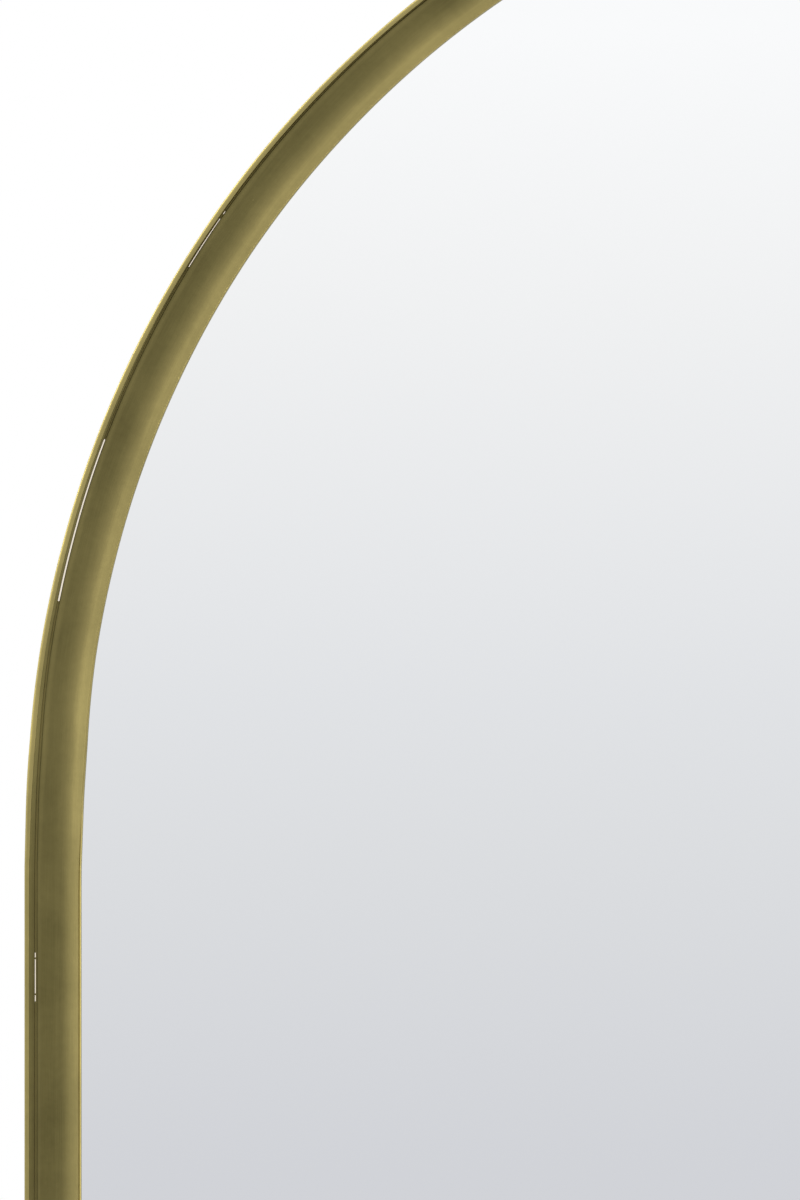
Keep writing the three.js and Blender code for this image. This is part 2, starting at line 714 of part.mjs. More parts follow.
// the plate lies on the band's inner wall, and its lug stops the arm's tail when the stand is open
function addBracket(mirror, side) {
  const hand = side < 0 ? 'left' : 'right';
  const station = onLeg(side, PIVOT_HEIGHT);
  const up = -side; // a station on the left leg keeps z up; on the right leg it turns over
  const plateOut = BAND_THICKNESS + FIT;
  const plateIn = plateOut + BRACKET_THICKNESS;
  const tangIn = ARM_IN + TANG_THICKNESS / 2;
  const backEdge = -BRACKET_EDGE;
  const frontEdge = -(BOARD_BACK - BRACKET_EDGE);
  const span = [-up * BRACKET_BOTTOM, up * BRACKET_TOP].sort((a, b) => a - b);
  const lug = [up * STOP_BOTTOM, up * STOP_TOP].sort((a, b) => a - b);
  const tailReach = TANG_HALF_WIDTH * Math.cos(STAND_ANGLE) + TANG_TOP * Math.sin(STAND_ANGLE);
  const lugBack = -(PIVOT_RISE + tailReach + FIT);

  const flat = block([plateOut, frontEdge, span[0]], [plateIn, backEdge, span[1]]);
  const stop = block([plateOut + FIT, frontEdge, lug[0]], [tangIn, lugBack, lug[1]]);
  const boltHole = rodX(BOLT_RADIUS + RUNNING, 0, ARM_IN, BOLT_SIDES).translate(0, -PIVOT_RISE, 0);
  const screwHoles = [BRACKET_SCREW_TOP, -BRACKET_SCREW_BOTTOM].map((offset) => (
    rodX(SCREW_RADIUS + FIT, 0, ARM_IN, SCREW_SIDES).translate(0, -PIVOT_RISE, up * offset)
  ));
  add(station, `stand_bracket_${hand}`, cut(join(flat, [stop]), [boltHole, ...screwHoles]), zincSteel);

  [BRACKET_SCREW_TOP, -BRACKET_SCREW_BOTTOM].forEach((offset, i) => {
    const seat = plateIn + FIT;
    const shaft = screw(seat - BAND_SKIN - FIT).rotateZ(-Math.PI / 2);
    const place = i ? 'lower' : 'upper';
    const name = `bracket_screw_${hand}_${place}`;
    add(station, name, shaft.translate(seat, -PIVOT_RISE, up * offset), zincSteel);
  });

  const tangOut = ARM_IN - TANG_THICKNESS / 2;
  const bolt = turned([
    [plateOut + FIT, BOLT_RADIUS],
    [plateIn + FIT, BOLT_RADIUS],
    [plateIn + FIT, BOLT_HEAD_RADIUS],
    [tangOut - FIT, BOLT_HEAD_RADIUS],
    [tangOut - FIT, BOLT_RADIUS],
    [tangIn + FIT, BOLT_RADIUS],
    [tangIn + FIT, BOLT_HEAD_RADIUS],
    [tangIn + FIT + BOLT_HEAD_HEIGHT, BOLT_HEAD_RADIUS],
  ], BOLT_SIDES).rotateZ(-Math.PI / 2).translate(0, -PIVOT_RISE, 0);
  add(station, `pivot_bolt_${hand}`, bolt, zincSteel);
  mirror.add(station);
}

function addStand(mirror) {
  const stand = new THREE.Group();
  stand.position.set(0, -PIVOT_RISE, PIVOT_HEIGHT);
  stand.rotation.x = STAND_ANGLE;

  const barTop = -TANG_BOTTOM + BAR_RADIUS;
  const route = roundedStations([-ARM_X, barTop], [
    { at: [-ARM_X, -ARM_LENGTH], radius: HOOP_BEND },
    { at: [ARM_X, -ARM_LENGTH], radius: HOOP_BEND },
  ], [ARM_X, barTop]);
  const bar = sweep(circleSection(BAR_RADIUS, BAR_SIDES), route);
  const tangs = [-1, 1].map((side) => block(
    [side * ARM_X - TANG_THICKNESS / 2, -TANG_HALF_WIDTH, -TANG_BOTTOM],
    [side * ARM_X + TANG_THICKNESS / 2, TANG_HALF_WIDTH, TANG_TOP],
  ));
  const bore = rodX(BOLT_RADIUS + RUNNING, -HALF, HALF, BOLT_SIDES);
  add(stand, 'stand_hoop', cut(join(bar, tangs), [bore]), blackSteel);

  [-1, 1].forEach((side) => {
    const tube = new THREE.Shape().absarc(0, 0, SLEEVE_RADIUS, 0, 2 * Math.PI, false);
    tube.holes.push(new THREE.Path().absarc(0, 0, BAR_RADIUS + FIT, 0, 2 * Math.PI, true));
    const sleeve = new THREE.ExtrudeGeometry(tube, {
      depth: SLEEVE_LENGTH, bevelEnabled: false, curveSegments: SLEEVE_SIDES,
    });
    sleeve.rotateY(Math.PI / 2).translate(side * SLEEVE_X - SLEEVE_LENGTH / 2, 0, -ARM_LENGTH);
    add(stand, `stand_sleeve_${side < 0 ? 'left' : 'right'}`, sleeve, rubber);
  });
  mirror.add(stand);
}

// ---------- assembly ----------

function buildMirror() {
  const mirror = new THREE.Group();
  addBands(mirror);
  addMouldings(mirror);
  addCornerKeys(mirror);
  addJoiningScrews(mirror);
  addGlazing(mirror);
  addClips(mirror);
  addRail(mirror);
  [-1, 1].forEach((side) => addHanger(mirror, side));
  addBumpers(mirror);
  addFeet(mirror);
  [-1, 1].forEach((side) => addBracket(mirror, side));
  addStand(mirror);
  mirror.rotation.x = -LEAN;
  return mirror;
}

// the origin is the middle of the footprint box, on the floor
const group = new THREE.Group();
const mirror = buildMirror();
group.add(mirror);
group.updateMatrixWorld(true);
const bounds = new THREE.Box3().setFromObject(group, true);
mirror.position.set(0, -(bounds.min.y + bounds.max.y) / 2, FOOT_HEIGHT);

export default group;
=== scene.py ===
# %% [markdown]
# # An arched floor mirror in antique brass
# The mirror leans back on a prop stand. Its frame is two bent pieces: an outer band, which is a flat
# bar on edge, and an inner moulding that slopes down to the glass. A narrow slit runs between them.
# The engineering model comes in first as a fixed frame, and every visible piece is built on it here.

# %% Load the frame
import json
import math
import random

import bmesh
import bpy
from mathutils import Matrix, Vector

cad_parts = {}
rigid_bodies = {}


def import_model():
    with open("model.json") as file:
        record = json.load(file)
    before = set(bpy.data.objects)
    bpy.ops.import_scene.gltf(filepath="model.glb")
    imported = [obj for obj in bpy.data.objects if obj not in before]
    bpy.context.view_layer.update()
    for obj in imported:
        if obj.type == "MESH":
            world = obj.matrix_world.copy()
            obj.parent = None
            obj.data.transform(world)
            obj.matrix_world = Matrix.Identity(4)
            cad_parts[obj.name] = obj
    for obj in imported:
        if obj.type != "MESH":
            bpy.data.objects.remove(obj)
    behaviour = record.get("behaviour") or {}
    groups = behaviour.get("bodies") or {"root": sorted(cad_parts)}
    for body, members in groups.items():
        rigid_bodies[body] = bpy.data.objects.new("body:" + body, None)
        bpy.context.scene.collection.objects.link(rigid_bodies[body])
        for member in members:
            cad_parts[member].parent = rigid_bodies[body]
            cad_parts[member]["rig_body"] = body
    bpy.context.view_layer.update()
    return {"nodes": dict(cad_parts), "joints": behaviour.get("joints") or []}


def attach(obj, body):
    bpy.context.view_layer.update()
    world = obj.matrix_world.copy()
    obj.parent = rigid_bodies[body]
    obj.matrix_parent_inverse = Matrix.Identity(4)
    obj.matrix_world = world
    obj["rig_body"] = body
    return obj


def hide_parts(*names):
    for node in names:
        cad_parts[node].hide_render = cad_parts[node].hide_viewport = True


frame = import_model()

scene = bpy.context.scene

# %% [markdown]
# ## Standing the mirror up, and leaning it again
# A frame is easiest to draw upright: x across, z up along the glass, y = 0 on its back plane. Each piece
# is drawn there and then leaned by one matrix. The lean is a turn about X. How far the upright drawing
# slides is found by turning the finished glass upright and seeing where its corner lies.

# %% The lean
MM = 0.001
LEAN = math.radians(9)
HALF = 381 * MM
SPRING = 1422 * MM
GLASS_EDGE = 9.5 * MM
GLASS_BACK = 23.2 * MM

upright = Matrix.Rotation(LEAN, 3, "X")
glass_corners = [upright @ v.co for v in frame["nodes"]["mirror_glass"].data.vertices]
slide = Vector((
    0,
    max(p.y for p in glass_corners) + GLASS_BACK,
    min(p.z for p in glass_corners) - GLASS_EDGE,
))
LEANING = Matrix.Rotation(-LEAN, 4, "X") @ Matrix.Translation(slide)
print("the upright drawing slides by", [round(c / MM, 2) for c in slide], "mm")

# %% [markdown]
# ## Camera
# The picture looks squarely at the glass, so the camera stands on the glass's own normal. Four metres
# and a long lens keep the sides of the frame parallel. The lens length is the sensor's long side times
# the distance, over the height of the frame that fills the picture.

# %% Camera
PIXEL = 0.3669 * MM  # what one row of the picture covers at the glass
PICTURE_HEIGHT = 1200 * PIXEL
DISTANCE = 4.0
to_viewer = Vector((0, -math.cos(LEAN), math.sin(LEAN)))
picture_middle = LEANING @ Vector((-243.3 * MM, -35.4 * MM, 1499.4 * MM))

camera = bpy.data.objects.new("camera", bpy.data.cameras.new("camera"))
scene.collection.objects.link(camera)
camera.location = picture_middle + DISTANCE * to_viewer
camera.rotation_euler = (-to_viewer).to_track_quat("-Z", "Y").to_euler()
camera.data.sensor_width = 36
camera.data.lens = camera.data.sensor_width * DISTANCE / PICTURE_HEIGHT
camera.data.clip_end = 200
scene.camera = camera
scene.view_settings.view_transform = "Standard"
print("lens", round(camera.data.lens, 1), "mm")

# %% [markdown]
# ## Helpers for node trees and colours
# Every tree below is built from one small function. It adds a node, sets its options, and fills each
# input with a value or with another node's output. Colours are written as sRGB hex codes, as in a paint
# program, and the renderer wants linear light, so one function turns one into the other.

# %% Adding a node
def add_node(tree, kind, inputs=None, **options):
    """A new node with its options set and its inputs filled with values or links."""
    node = tree.nodes.new(kind)
    for option, value in options.items():
        setattr(node, option, value)
    for key, value in (inputs or {}).items():
        if isinstance(value, bpy.types.NodeSocket):
            tree.links.new(value, node.inputs[key])
        else:
            node.inputs[key].default_value = value
    return node


# %% Colours
def colour(code):
    """Linear RGBA of an sRGB hex colour."""
    parts = [int(code[i:i + 2], 16) / 255 for i in (1, 3, 5)]
    linear = [p / 12.92 if p <= 0.04045 else ((p + 0.055) / 1.055) ** 2.4 for p in parts]
    return (*linear, 1.0)


def set_stops(ramp_node, stops):
    """Puts (position, hex colour) stops on a colour ramp, in order."""
    ramp = ramp_node.color_ramp
    while len(ramp.elements) < len(stops):
        ramp.elements.new(0.5)
    for element, (position, code) in zip(ramp.elements, stops):
        element.position = position
        element.color = colour(code)


print("#8A7F50 is", [round(part, 3) for part in colour("#8A7F50")[:3]], "in linear light")

# %% [markdown]
# ## Starting a material or an object
# Each material starts as an empty node tree with one input: the object's own coordinates. They are in
# metres, so that a pattern's size can be given in real millimetres. Each object is linked to the scene
# as soon as it is made.

# %% New materials and objects
def start_material(name):
    """An empty node material, its tree, and the object's own coordinates."""
    material = bpy.data.materials.new(name)
    material.use_nodes = True
    tree = material.node_tree
    tree.nodes.clear()
    print("material", name)
    return material, tree, add_node(tree, "ShaderNodeTexCoord").outputs["Object"]


def place_in_scene(name, data):
    """A new object of this name, linked to the scene."""
    thing = bpy.data.objects.new(name, data)
    scene.collection.objects.link(thing)
    return thing


# %% [markdown]
# ## The room's light
# A mirror shows whatever stands in front of it, so the room has to be lit for it. Here that is a smooth
# studio wall, paler towards the ceiling. Only glossy rays see that wall. The camera sees plain white,
# and the diffuse light is an even soft white.

# %% World
world = bpy.data.worlds.new("studio")
scene.world = world
world.use_nodes = True
sky = world.node_tree
sky.nodes.clear()
print("world", world.name)

# %% The wall that glossy rays see
direction = add_node(sky, "ShaderNodeTexCoord").outputs["Generated"]
height = add_node(sky, "ShaderNodeSeparateXYZ", {0: direction}).outputs["Z"]
wall = add_node(sky, "ShaderNodeMapRange", {
    "Value": height, "From Min": 0.0, "From Max": 0.25,
}).outputs["Result"]
wall_ramp = add_node(sky, "ShaderNodeValToRGB", {"Fac": wall})
set_stops(wall_ramp, [
    (0.0, "#C0C2C8"), (0.426, "#D5D6DA"), (0.535, "#DFE0E2"), (0.589, "#E4E5E7"), (0.734, "#F4F4F4"),
    (0.83, "#FDFDFD"), (1.0, "#FFFFFF"),
])
print("studio wall with", len(wall_ramp.color_ramp.elements), "shades")

# %% [markdown]
# ### One world for each kind of ray
# The Light Path node tells what sort of ray is asking. Glass and metal ask with glossy rays and get the
# wall. The camera gets plain white, and every other ray a soft even white. Real flags and screens round
# a photo set do the same work; here one node does it, and it holds from every side.

# %% What each kind of ray sees
rays = add_node(sky, "ShaderNodeLightPath").outputs
sharp_rays = add_node(sky, "ShaderNodeMath", {
    0: rays["Is Glossy Ray"], 1: rays["Is Transmission Ray"],
}, operation="MAXIMUM").outputs[0]
soft_or_wall = add_node(sky, "ShaderNodeMix", {
    "Factor": sharp_rays, 6: colour("#D8D8D8"), 7: wall_ramp.outputs["Color"],
}, data_type="RGBA").outputs[2]
seen = add_node(sky, "ShaderNodeMix", {
    "Factor": rays["Is Camera Ray"], 6: soft_or_wall, 7: colour("#FFFFFF"),
}, data_type="RGBA").outputs[2]
background = add_node(sky, "ShaderNodeBackground", {"Color": seen, "Strength": 1.0})
add_node(sky, "ShaderNodeOutputWorld", {"Surface": background.outputs[0]})
print("its tree has", len(sky.nodes), "nodes")

# %% [markdown]
# ## Lamps
# Two broad soft boxes light the front from above, one on each side, so none stands where the glass would
# show it in the picture. A third one behind gives the back of the mirror its modelling.

# %% Soft boxes
def soft_box(name, place, aim, size, power):
    """An area lamp at a place, turned to a point."""
    lamp = place_in_scene(name, bpy.data.lights.new(name, "AREA"))
    lamp.location = place
    lamp.rotation_euler = (Vector(aim) - Vector(place)).to_track_quat("-Z", "Y").to_euler()
    lamp.data.shape = "SQUARE"
    lamp.data.size = size
    lamp.data.energy = power
    print(name, power, "W")


soft_box("soft_box_left", (-2.6, -2.2, 3.4), (0, 0, 1.0), 1.8, 45)
soft_box("soft_box_right", (2.9, -2.6, 3.2), (0, 0, 1.0), 1.8, 30)
soft_box("soft_box_back", (1.6, 3.2, 3.2), (0, 0, 0.9), 1.8, 35)

# %% [markdown]
# ## Floor
# A pale sheet of matt paper. Near the mirror it takes the shadow. Far out it turns into plain white, so
# that it meets the white background with no line.

# %% Floor
FLOOR_HALF = 120  # metres
floor_mesh = bpy.data.meshes.new("floor")
floor_corners = [(x * FLOOR_HALF, y * FLOOR_HALF, 0) for x, y in ((-1, -1), (1, -1), (1, 1), (-1, 1))]
floor_mesh.from_pydata(floor_corners, [], [(0, 1, 2, 3)])
floor = place_in_scene("floor", floor_mesh)
print("floor", 2 * FLOOR_HALF, "m wide")

# %% The floor's paper
paper, sheet, spot = start_material("matt_paper_floor")
far_out = add_node(sheet, "ShaderNodeVectorMath", {0: spot}, operation="LENGTH").outputs["Value"]
fade = add_node(sheet, "ShaderNodeMapRange", {
    "Value": far_out, "From Min": 1.2, "From Max": 3.5,
}, interpolation_type="SMOOTHSTEP").outputs["Result"]
matt = add_node(sheet, "ShaderNodeBsdfDiffuse", {"Color": colour("#F3F2F0")}).outputs[0]
white = add_node(sheet, "ShaderNodeEmission", {"Color": colour("#FFFFFF"), "Strength": 1.0}).outputs[0]
mixed = add_node(sheet, "ShaderNodeMixShader", {0: fade, 1: matt, 2: white}).outputs[0]
add_node(sheet, "ShaderNodeOutputMaterial", {"Surface": mixed})
floor_mesh.materials.append(paper)

# %% [markdown]
# ## Antique brass
# The real finish is brass that was darkened in a chemical bath and then rubbed back, so that the high
# spots shine and the hollows stay olive brown. A number called tone is stored across each section: 0 in
# the hollows and the deepest painted shade, 1 where the cloth rubbed hardest and on painted highlights.
# Besides that patina it holds painted light: painted shade by the slit, and painted highlights and
# reflections on the rim, the roll of the face and the arris. Fine satin scratches run along the bar,
# cloudy patches a few centimetres wide come from the bath, and here and there the tone is rubbed through
# to a speck.

# %% Antique brass
GRAIN_ACROSS = 0.35  # mm between satin scratches, coarser than the real 0.1 so that it shows
GRAIN_ALONG = 18     # mm long
PATCH = 35           # mm, one cloud in the toning
MOTTLE = 2.2         # mm, one fine spot
SPECK = 9            # mm between specks


def antique_brass(name, stops, rough_dark, rough_bright):
    """Toned and relieved brass with painted light: `stops` are the colours from tone 0, hollows and painted
    shade, to tone 1, high spots and painted highlights.
    """
    brass, tree, place = start_material(name)
    tone = add_node(tree, "ShaderNodeAttribute", attribute_name="tone").outputs["Fac"]
    along = add_node(tree, "ShaderNodeAttribute", attribute_name="along").outputs["Fac"]
    across = add_node(tree, "ShaderNodeAttribute", attribute_name="across").outputs["Fac"]
    lay = add_node(tree, "ShaderNodeCombineXYZ", {0: along, 1: across}).outputs[0]
    stretched = add_node(tree, "ShaderNodeMapping", {
        "Vector": lay, "Scale": (1 / (GRAIN_ALONG * MM), 1 / (GRAIN_ACROSS * MM), 1),
    }).outputs[0]
    scratches = add_node(tree, "ShaderNodeTexNoise", {
        "Vector": stretched, "Scale": 1.0, "Detail": 3.0, "Roughness": 0.6,
    }).outputs["Fac"]
    clouds, mottle = [
        add_node(tree, "ShaderNodeTexNoise", {
            "Vector": place, "Scale": 1 / (size * MM), "Detail": detail, "Roughness": rough,
        }).outputs["Fac"] for size, detail, rough in ((PATCH, 4.0, 0.6), (MOTTLE, 2.0, 0.5))
    ]
    cells = add_node(tree, "ShaderNodeTexVoronoi", {"Vector": place, "Scale": 1 / (SPECK * MM)})
    near = add_node(tree, "ShaderNodeMapRange", {
        "Value": cells.outputs["Distance"], "From Min": 0.05, "From Max": 0.02,
    }).outputs["Result"]
    chance = add_node(tree, "ShaderNodeSeparateXYZ", {0: cells.outputs["Color"]}).outputs["X"]
    chosen = add_node(tree, "ShaderNodeMath", {0: chance, 1: 0.82}, operation="GREATER_THAN").outputs[0]
    speck = add_node(tree, "ShaderNodeMath", {0: near, 1: chosen}, operation="MULTIPLY").outputs[0]

    # The tone holds the patina and also painted shade and painted highlights; random clouds, scratches and
    # specks go on top.
    wear_and_painted_light = tone
    for pattern, swing in ((clouds, 0.05), (scratches, 0.022), (mottle, 0.012)):
        shift = add_node(tree, "ShaderNodeMapRange", {
            "Value": pattern, "From Min": 0.3, "From Max": 0.7, "To Min": -swing, "To Max": swing,
        }).outputs["Result"]
        wear_and_painted_light = add_node(tree, "ShaderNodeMath", {0: wear_and_painted_light, 1: shift}, operation="ADD").outputs[0]
    wear_and_painted_light = add_node(tree, "ShaderNodeMath", {
        0: speck, 1: 0.35, 2: wear_and_painted_light,
    }, operation="MULTIPLY_ADD").outputs[0]
    ramp = add_node(tree, "ShaderNodeValToRGB", {"Fac": wear_and_painted_light})
    set_stops(ramp, stops)
    rough = add_node(tree, "ShaderNodeMapRange", {
        "Value": wear_and_painted_light, "To Min": rough_dark, "To Max": rough_bright,
    }).outputs["Result"]
    bump = add_node(tree, "ShaderNodeBump", {
        "Strength": 0.25, "Distance": 0.02 * MM, "Height": scratches,
    }).outputs[0]
    shader = add_node(tree, "ShaderNodeBsdfPrincipled", {
        "Base Color": ramp.outputs["Color"], "Metallic": 1.0, "Roughness": rough, "Normal": bump,
    }).outputs[0]
    add_node(tree, "ShaderNodeOutputMaterial", {"Surface": shader})
    return brass


# %% [markdown]
# ### One finish for each bar
# Band and moulding come out of the same bath. Each still gets a material of its own, so that one can be
# recoloured without the other. The five stops run from the darkest, in hollows and painted shade, to the
# brightest, on rubbed spots and painted highlights.

# %% The two toned finishes
BRASS_STOPS = [
    (0.0, "#38321A"), (0.25, "#6A623C"), (0.5, "#8A7F50"), (0.75, "#B5A66A"), (1.0, "#EAD67C"),
]
HOLLOW_ROUGH, RUBBED_ROUGH = 0.46, 0.30
band_brass = antique_brass("toned_brass_bar", BRASS_STOPS, HOLLOW_ROUGH, RUBBED_ROUGH)
face_brass = antique_brass("toned_brass_moulding", BRASS_STOPS, HOLLOW_ROUGH, RUBBED_ROUGH)
print("brass finishes", band_brass.name, face_brass.name)

# %% [markdown]
# ## The way round the frame
# Both bars follow the silhouette: up the left leg, over a half circle and down the right leg, with a
# straight bar along the bottom. Each point of this path stores its place, which way is inwards, and how
# much a mitred end slides along. Bending a bar is never quite even. The curve eases in just above the
# legs. Further up the arch the moulding moves outwards, which narrows the ledge, and its face spreads a
# little. Three lists of knots hold this, each over the angle above the spring of the arch.

# %% How the bend changes the bars
EASE_IN = [(-3, 0), (4, 1.06), (15, 1.06), (38, 0.32)]  # mm inwards of the true circle
DRAW_OUT = [(3, 0), (9, 0.6), (19, 1.15), (26, 1.4), (34, 1.75), (43, 1.95), (50, 2.15)]  # mm outwards
FAN_OUT = [(-4, 0), (2, 1), (9, 0.8), (26, 0.5), (34, 0.4), (50, 0.3)]  # share of the full spread
BENT_FROM, BENT_TO = -4, 2  # degrees over which the tones of the leg turn into those of the arch


def share_of_way(value, start, end):
    """0 before start, 1 after end, and a straight slope between."""
    return max(0.0, min(1.0, (value - start) / (end - start)))


def between(value, knots):
    """Straight slopes between (position, amount) knots."""
    for (start, low), (end, high) in zip(knots, knots[1:]):
        if value < end:
            return low + (high - low) * share_of_way(value, start, end)
    return knots[-1][1]


print("30 degrees up, the moulding moves out by", round(between(30, DRAW_OUT), 2), "mm")

# %% [markdown]
# ## The slit between the bars
# A stretch of the slit is open right through and shows the white wall behind as a thin bright line.
# Everywhere else a low rib on the moulding bears against the band and closes the slit. The open
# stretches are a short list of angles round the arch and heights on the leg. The rib has to be a little
# longer than the slit is wide, which is 0.8 mm on the leg and about 0.4 mm on the arch.

# %% Where the slit is open
OPEN_ARCH = [  # degrees from the left spring
    (11.8, 21.2), (31.9, 35.1), (35.4, 35.6), (118.0, 124.0), (151.0, 157.5),
]
OPEN_LEG = [(1.3521, 1.3544), (1.3550, 1.3676), (1.3682, 1.3700), (0.71, 0.75)]  # metres up, both legs
RIB_ON_LEG = 0.85       # mm, where the rib closes the slit
RIB_SHORTER = 0.4       # mm less on the arch, where the slit is narrower
OPEN_RIB_ON_LEG = 0.45  # mm, where light comes through
OPEN_RIB_ON_ARCH = 0.05


def rib_reach(height, turned, from_side):
    """How far the rib stands out: past the slit, or just short of it where light comes through."""
    places, value = (OPEN_LEG, height) if turned is None else (OPEN_ARCH, turned)
    if any(low <= value <= high for low, high in places):
        return (OPEN_RIB_ON_LEG if turned is None else OPEN_RIB_ON_ARCH) * MM
    return (RIB_ON_LEG - RIB_SHORTER * share_of_way(from_side, 3, 38)) * MM


print(len(OPEN_ARCH), "open stretches on the arch and", len(OPEN_LEG), "on each leg")

# %% [markdown]
# ## Points round the frame
# The legs have a point every few millimetres and the arch one for less than a degree. At each end of an
# open stretch two points stand close together, so that the rib stops short instead of tapering off.

# %% Where the points lie
LEG_STEPS = 280
ARCH_STEPS = 240
LEG_GAP = 0.1 * MM   # between the two steps at an end of an open stretch, on the leg
ARCH_GAP = 0.015     # the same on the arch, in degrees


def with_ends(steps, stretches, gap):
    """The steps, plus two close together at each end of each open stretch."""
    ends = {end + side * gap for stretch in stretches for end in stretch for side in (-1, 1)}
    return sorted(ends.union(steps))


def arch_points():
    """Points over the legs and the arch, each with what the sweep needs to know there."""
    heights = with_ends([SPRING * i / LEG_STEPS for i in range(LEG_STEPS)], OPEN_LEG, LEG_GAP)
    turns = with_ends([180 * i / ARCH_STEPS for i in range(ARCH_STEPS + 1)], OPEN_ARCH, ARCH_GAP)
    points = [(-1, height, 0.0) for height in heights]
    points += [(0, SPRING, turned) for turned in turns]
    points += [(1, height, 180.0) for height in reversed(heights)]
    made = []
    travelled = 0.0
    for number, (leg, height, turned) in enumerate(points):
        angle = math.radians(180 - turned)
        outward = Vector((math.cos(angle), 0, math.sin(angle)))
        spot = outward * HALF + Vector((0, 0, SPRING))
        from_side = min(turned, 180 - turned)
        if leg:
            outward = Vector((leg, 0, 0))
            spot = Vector((leg * HALF, 0, height))
            from_side = -math.degrees((SPRING - height) / HALF)
        spot = spot - outward * between(from_side, EASE_IN) * MM
        if made:
            travelled += (spot - made[-1]["place"]).length
        at_end = number in (0, len(points) - 1)
        made.append({
            "place": spot, "inward": -outward, "slide": Vector((0, 0, 1)) if at_end else Vector(),
            "along": travelled, "reach": rib_reach(height, turned if not leg else None, from_side),
            "draw": between(from_side, DRAW_OUT) * MM, "fan": between(from_side, FAN_OUT),
            "bent": share_of_way(from_side, BENT_FROM, BENT_TO),
        })
    return made


def bottom_points():
    """The straight bar, from right to left, so that inwards is up."""
    made = []
    for share, mitre in ((0, -1), (0.02, 0), (0.5, 0), (0.98, 0), (1, 1)):
        made.append({
            "place": Vector((HALF * (1 - 2 * share), 0, 0)), "inward": Vector((0, 0, 1)),
            "slide": Vector((mitre, 0, 0)), "along": 2 * HALF * share, "reach": RIB_ON_LEG * MM,
            "draw": 0.0, "fan": 0.0, "bent": 0.0,
        })
    return made


print(len(arch_points()), "points over the arch,", len(bottom_points()), "along the bottom")

# %% [markdown]
# ## Two sections
# A section is drawn with two measures: how far in from the silhouette, and how far it rises from the
# back plane. Each corner also has its tone on the leg and, where it differs, its tone on the arch. The
# tones hold painted shade and painted highlights as well as the patina, and the arch has its own because
# light falls on it differently. The band is a bar with a softly rounded rim and a ledge just inside it.
# The moulding has a flat face, rolls down towards the glass and ends in a small raised arris; its hollow
# back holds the glass. Rounded corners matter more than anything here, because metal shows a bright or
# dark line at every edge.

# %% Drawing a section
def rounded(corners, steps=4):
    """A closed outline through (in, rise, radius, tones) corners in mm, each rounded by its radius."""
    outline = []
    count = len(corners)
    for i, (inward, rise, radius, *tone) in enumerate(corners):
        here = Vector((inward, rise))
        back = Vector(corners[i - 1][:2]) - here
        ahead = Vector(corners[(i + 1) % count][:2]) - here
        if radius <= 0:
            outline.append((here, tone))
            continue
        half_turn = back.angle(ahead) / 2
        setback = min(radius / math.tan(half_turn), 0.49 * min(back.length, ahead.length))
        start = here + back.normalized() * setback
        end = here + ahead.normalized() * setback
        for step in range(steps + 1):
            share = step / steps
            bow = start.lerp(here, share).lerp(here.lerp(end, share), share)
            outline.append((bow, tone))
    return outline


print("a rounded square has", len(rounded([(0, 0, 1), (4, 0, 1), (4, 4, 1), (0, 4, 1)])), "points")

# %% [markdown]
# ### A section that carries numbers
# The outline becomes a closed loop of mesh edges. A curve stores little more than places, but a mesh
# point can store any number. Here these are its tones, and how much it takes part in each change.

# %% A section as an object
def section_object(name, outline, give, spread, rib=None, sink=None, bare=None):
    """The outline as a closed loop of points that carry what the sweep needs."""
    mesh = bpy.data.meshes.new(name)
    count = len(outline)
    mesh.from_pydata(
        [(p.x * MM, p.y * MM, 0) for p, tone in outline], [(i, (i + 1) % count) for i in range(count)], [],
    )
    across = [0.0]
    for (a, _), (b, _) in zip(outline, outline[1:]):
        across.append(across[-1] + (b - a).length * MM)
    columns = {
        "in": [p.x * MM for p, tone in outline],
        "rise": [p.y * MM for p, tone in outline],
        "leg_tone": [tone[0] for p, tone in outline],
        "arch_tone": [tone[-1] for p, tone in outline],
        "across": across,
    }
    for column, rule in (("give", give), ("spread", spread), ("rib", rib), ("sink", sink), ("bare", bare)):
        columns[column] = [rule(p) if rule else 0.0 for p, tone in outline]
    for column, values in columns.items():
        mesh.attributes.new(column, "FLOAT", "POINT").data.foreach_set("value", values)
    print("section", name, "with", count, "points")
    return place_in_scene(name, mesh)


# %% [markdown]
# ### The band
# The band is a flat bar, 38 mm deep, stood on edge and bent round. A bevel on a box would give all its
# edges the same round. Ten corners drawn one by one, each with a radius of its own, give a soft rim, a
# small step down to the ledge and a plain back.

# %% The band's section
DEPTH = 38
RIM_IN = 1.65
LEDGE_IN = 3.7
BARE_FROM, BARE_TO = 6, 34.9  # mm up its inner side, where the brass is bare
# Each corner's last numbers are its tones on the leg and on the arch. The rim's bright tones, brighter on the
# arch's outer round, are partly a painted highlight, and the dark tones at the ledge's edge by the slit are
# partly painted shade.
band_outline = rounded([
    (LEDGE_IN, 0, 0.4, 0.3), (0, 0, 0.5, 0.35), (0, DEPTH, 0.5, 0.62, 0.82), (0.8, DEPTH, 0, 0.55, 0.63),
    (1.2, DEPTH, 0, 0.58, 0.6), (RIM_IN, DEPTH, 0.3, 0.6, 0.58), (RIM_IN, 37.15, 0.15, 0.26, 0.32),
    (LEDGE_IN, 36.7, 0.4, 0.16, 0.26), (LEDGE_IN, BARE_TO, 0, 0.2), (LEDGE_IN, BARE_FROM, 0, 0.3),
])
print("the band's section has", len(band_outline), "points")

# %% [markdown]
# ### The moulding
# The moulding is a channel rolled from thin sheet: an outer leg beside the band, a face, and a lip over
# the glass. A solid bar would look the same from the front but would fill the hollow back, where clips
# and screws sit. The face is a curve, so rules give its height and its tone at any distance inwards.

